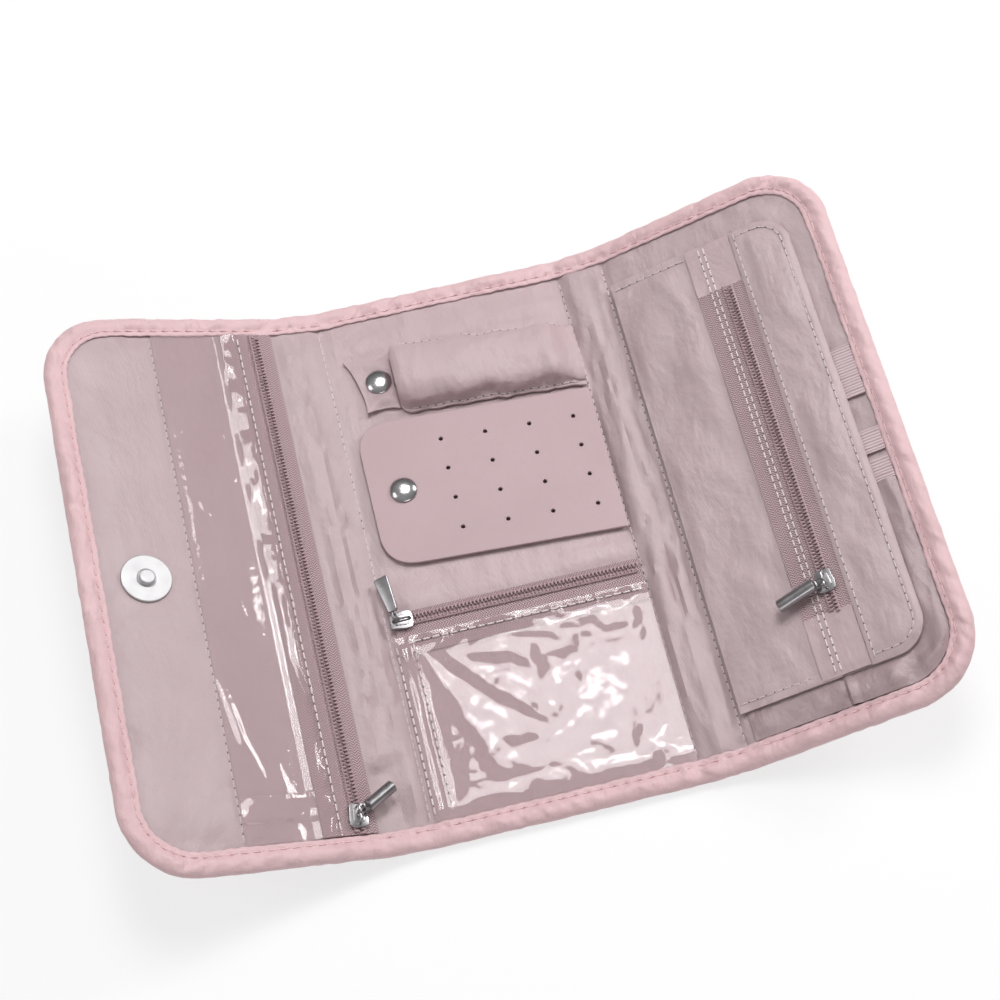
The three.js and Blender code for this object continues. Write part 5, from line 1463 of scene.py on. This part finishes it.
def page_slack(x, y, seed):
    """Bigger folds where the page's cloth is free of the zip."""
    free = smooth(30.0 - x, 0, 8) * smooth(x, 0, 5) + smooth(x, 52, 57)
    big = 0.55 + 0.65 * ripple((x - 0.7 * y) / 17, (y + 0.5 * x) / 30, seed + 5)
    big = big + 0.35 * ripple((x + y) / 9, (y - x) / 22, seed + 6)
    return free * smooth(page_inward(x, y), 2.5, 9) * big


def page_layer(name, low, high, base, top, node, seed):
    """One satin layer of the page, rounded down at its edges."""
    x, y = page_grid(low, high)
    inward = page_inward(x, y)
    sewn = hump(inward - 3.0, 0.9) * 1.3
    hem = sum(hump(PAGE_HALF - np.abs(y) - at, 0.6) for at in (6.5, 9.2)) * (low == 0)
    rise = (top - base) * (0.25 + 0.75 * smooth(inward, -0.2, 2.6)) - 0.24 * sewn - 0.20 * hem
    if low > 0:
        rise = rise * (0.8 + 0.2 * smooth(np.abs(x - low), 0, 1.2))
    surface = base + np.maximum(rise + page_waves(x, y, seed) * 0.8 + page_slack(x, y, seed), 0.05)
    made = mounted("page", name, layer(x, y, surface, surface + PAGE_CLOTH), satin_lining, node,
                   "lining_cloth", PAGE_AT)
    area = (high - low) * 2 * PAGE_HALF * MM * MM
    area -= (2 - math.pi / 2) * PAGE_CORNER ** 2 * MM * MM * (high == PAGE_WIDTH)


x, y = page_grid(0.0, PAGE_WIDTH)
under = 0.03 + 0.10 * (1 + ripple(x / 9, y / 22, 161))
made = mounted("page", "page_back_satin", layer(x, y, under, 0.48), satin_lining, "page_back",
               "lining_cloth", PAGE_AT)
page_layer("page_front_satin_wide", 0.0, 37.5, 0.52, 0.95, "page_front_wide", 171)
page_layer("page_front_satin_narrow", 48.4, PAGE_WIDTH, 0.55, 2.3, "page_front_narrow", 181)

for name, low, high, node in (("page_end_tab_upper", 67.2, 87.6, "page_zip_end_top"),
                              ("page_end_tab_lower", -87.6, -65.2, "page_zip_end_bottom")):
    x = spread(30.6, 48.2, 1.0)[:, None]
    y = spread(low, high, 1.0)[None, :]
    height = 1.62 + 0.12 * (1 + ripple(x / 6, y / 7, 191)) - 0.6 * smooth(np.abs(y), 84.5, 87.6)
    made = mounted("page", name, layer(x, y, height, height + 0.4), lit_satin, node,
                   "lining_cloth", PAGE_AT)


def page_row(x, y, z):
    """A stitch line on the page, at its flat place."""
    return stacked(x, y, z) + np.array(PAGE_AT)


corner = np.linspace(0, math.pi / 2, 12)
arc_x = PAGE_WIDTH - PAGE_CORNER + 9.0 * np.sin(corner)
arc_y = PAGE_HALF - PAGE_CORNER + 9.0 * np.cos(corner)
edge_x = np.concatenate([[49.5], arc_x, arc_x[::-1], [49.5]])
edge_y = np.concatenate([[85.0], arc_y, -arc_y[::-1], [-85.0]])
y = spread(-86.5, 86.5, 1.0)
over_tabs = np.where(np.abs(y) > 66, 2.28, 2.12)
x = spread(0.5, 30, 1.0)
sew("page_tape_stitches", [page_row(at, y, over_tabs) for at in (35.9, 37.9)], pale_thread, "page")
sew("page_edge_stitches",
    [page_row(edge_x, edge_y, 2.52), page_row(x, -85.0, 1.25), page_row(x, 85.0, 1.25),
     page_row(50.2, y, 2.72)], seam_thread, "page")
print("page", PAGE_WIDTH, "by", 2 * PAGE_HALF, "mm")

# %% [markdown]
# The roll lies on plain white paper. Only what the camera and the shiny parts see of the paper is
# faded towards pure white; for the soft cloth it stays real paper that gathers a shadow. A large
# soft window hangs high behind the roll, where the small clear pocket mirrors it, and its middle
# is brighter, as in a real soft box. A lamp low on the right brings out the folds. Two weaker
# boxes, one on the left and one in front of the roll, keep the near edges from going grey.

# %% Table and lamps
PAPER_REACH, PAPER_BELOW = 3.0, 0.0004
WHITE_SHARE = 0.72
floor_mesh = bpy.data.meshes.new("table_top")
corners = PAPER_REACH * np.array([(-1, -1, 0), (1, -1, 0), (1, 1, 0), (-1, 1, 0)])
floor_mesh.from_pydata(corners.tolist(), [], [(0, 1, 2, 3)])
floor = bpy.data.objects.new("table_top", floor_mesh)
bpy.context.scene.collection.objects.link(floor)
floor.location.z = -PAPER_BELOW
paper, tree, shader = finish_of("white_paper", Base_Color=colour("#F4F4F4"), Roughness=0.9)[:3]
light_path = add(tree, "LightPath").outputs
seen = add(tree, "Math", {0: light_path["Is Camera Ray"], 1: light_path["Is Glossy Ray"]},
           operation="MAXIMUM")
seen = add(tree, "Math", {0: seen, 1: light_path["Is Transmission Ray"]}, operation="MAXIMUM")
faded = add(tree, "Math", {0: seen, 1: WHITE_SHARE}, operation="MULTIPLY")
white = add(tree, "Emission", {"Color": colour("#FFFFFF"), "Strength": 1.0})
mixed = add(tree, "MixShader", {0: faded, 1: shader, 2: white})
connect(tree.nodes["Material Output"], Surface=mixed)
floor_mesh.materials.append(paper)

DIM_ROOM, BRIGHT_ROOM = 0.06, 0.40
world = bpy.data.worlds.new("white_room")
bpy.context.scene.world = world
world.use_nodes = True
tree = world.node_tree
upness = add(tree, "SeparateXYZ", {0: add(tree, "TexCoord").outputs["Generated"]}).outputs["Z"]
room_light = add(tree, "MapRange", {"Value": upness, "From Min": -0.1, "From Max": 0.95,
                                    "To Min": DIM_ROOM, "To Max": BRIGHT_ROOM})
room = add(tree, "Background", {"Color": colour("#FFFFFF"), "Strength": room_light})
backdrop = add(tree, "Background", {"Color": colour("#FFFFFF"), "Strength": 1.0})
by_camera = add(tree, "LightPath").outputs["Is Camera Ray"]
shown_room = add(tree, "MixShader", {0: by_camera, 1: room, 2: backdrop})
connect(tree.nodes["World Output"], Surface=shown_room)


def soft_box(name, place, aim, width, height, power):
    """A rectangular lamp that points at a place."""
    data = bpy.data.lights.new(name, "AREA")
    data.shape = "RECTANGLE"
    data.size, data.size_y = width, height
    data.energy = power
    lamp = bpy.data.objects.new(name, data)
    bpy.context.scene.collection.objects.link(lamp)
    lamp.location = place
    lamp.rotation_euler = (Vector(aim) - Vector(place)).to_track_quat("-Z", "Y").to_euler()


soft_box("high_window", (0.14, 0.46, 1.15), (0, 0, 0), 0.50, 0.55, 7.6)
soft_box("window_centre", (0.14, 0.46, 1.14), (0, 0, 0), 0.14, 0.14, 0.9)
soft_box("right_window", (0.95, 0.40, 0.62), (0, 0, 0), 0.30, 0.30, 5.2)
soft_box("left_fill", (-0.95, 0.10, 0.85), (0, 0, 0), 0.50, 0.50, 2.2)
soft_box("front_fill", (0.15, -0.95, 0.50), (0, 0, 0), 0.60, 0.40, 1.7)
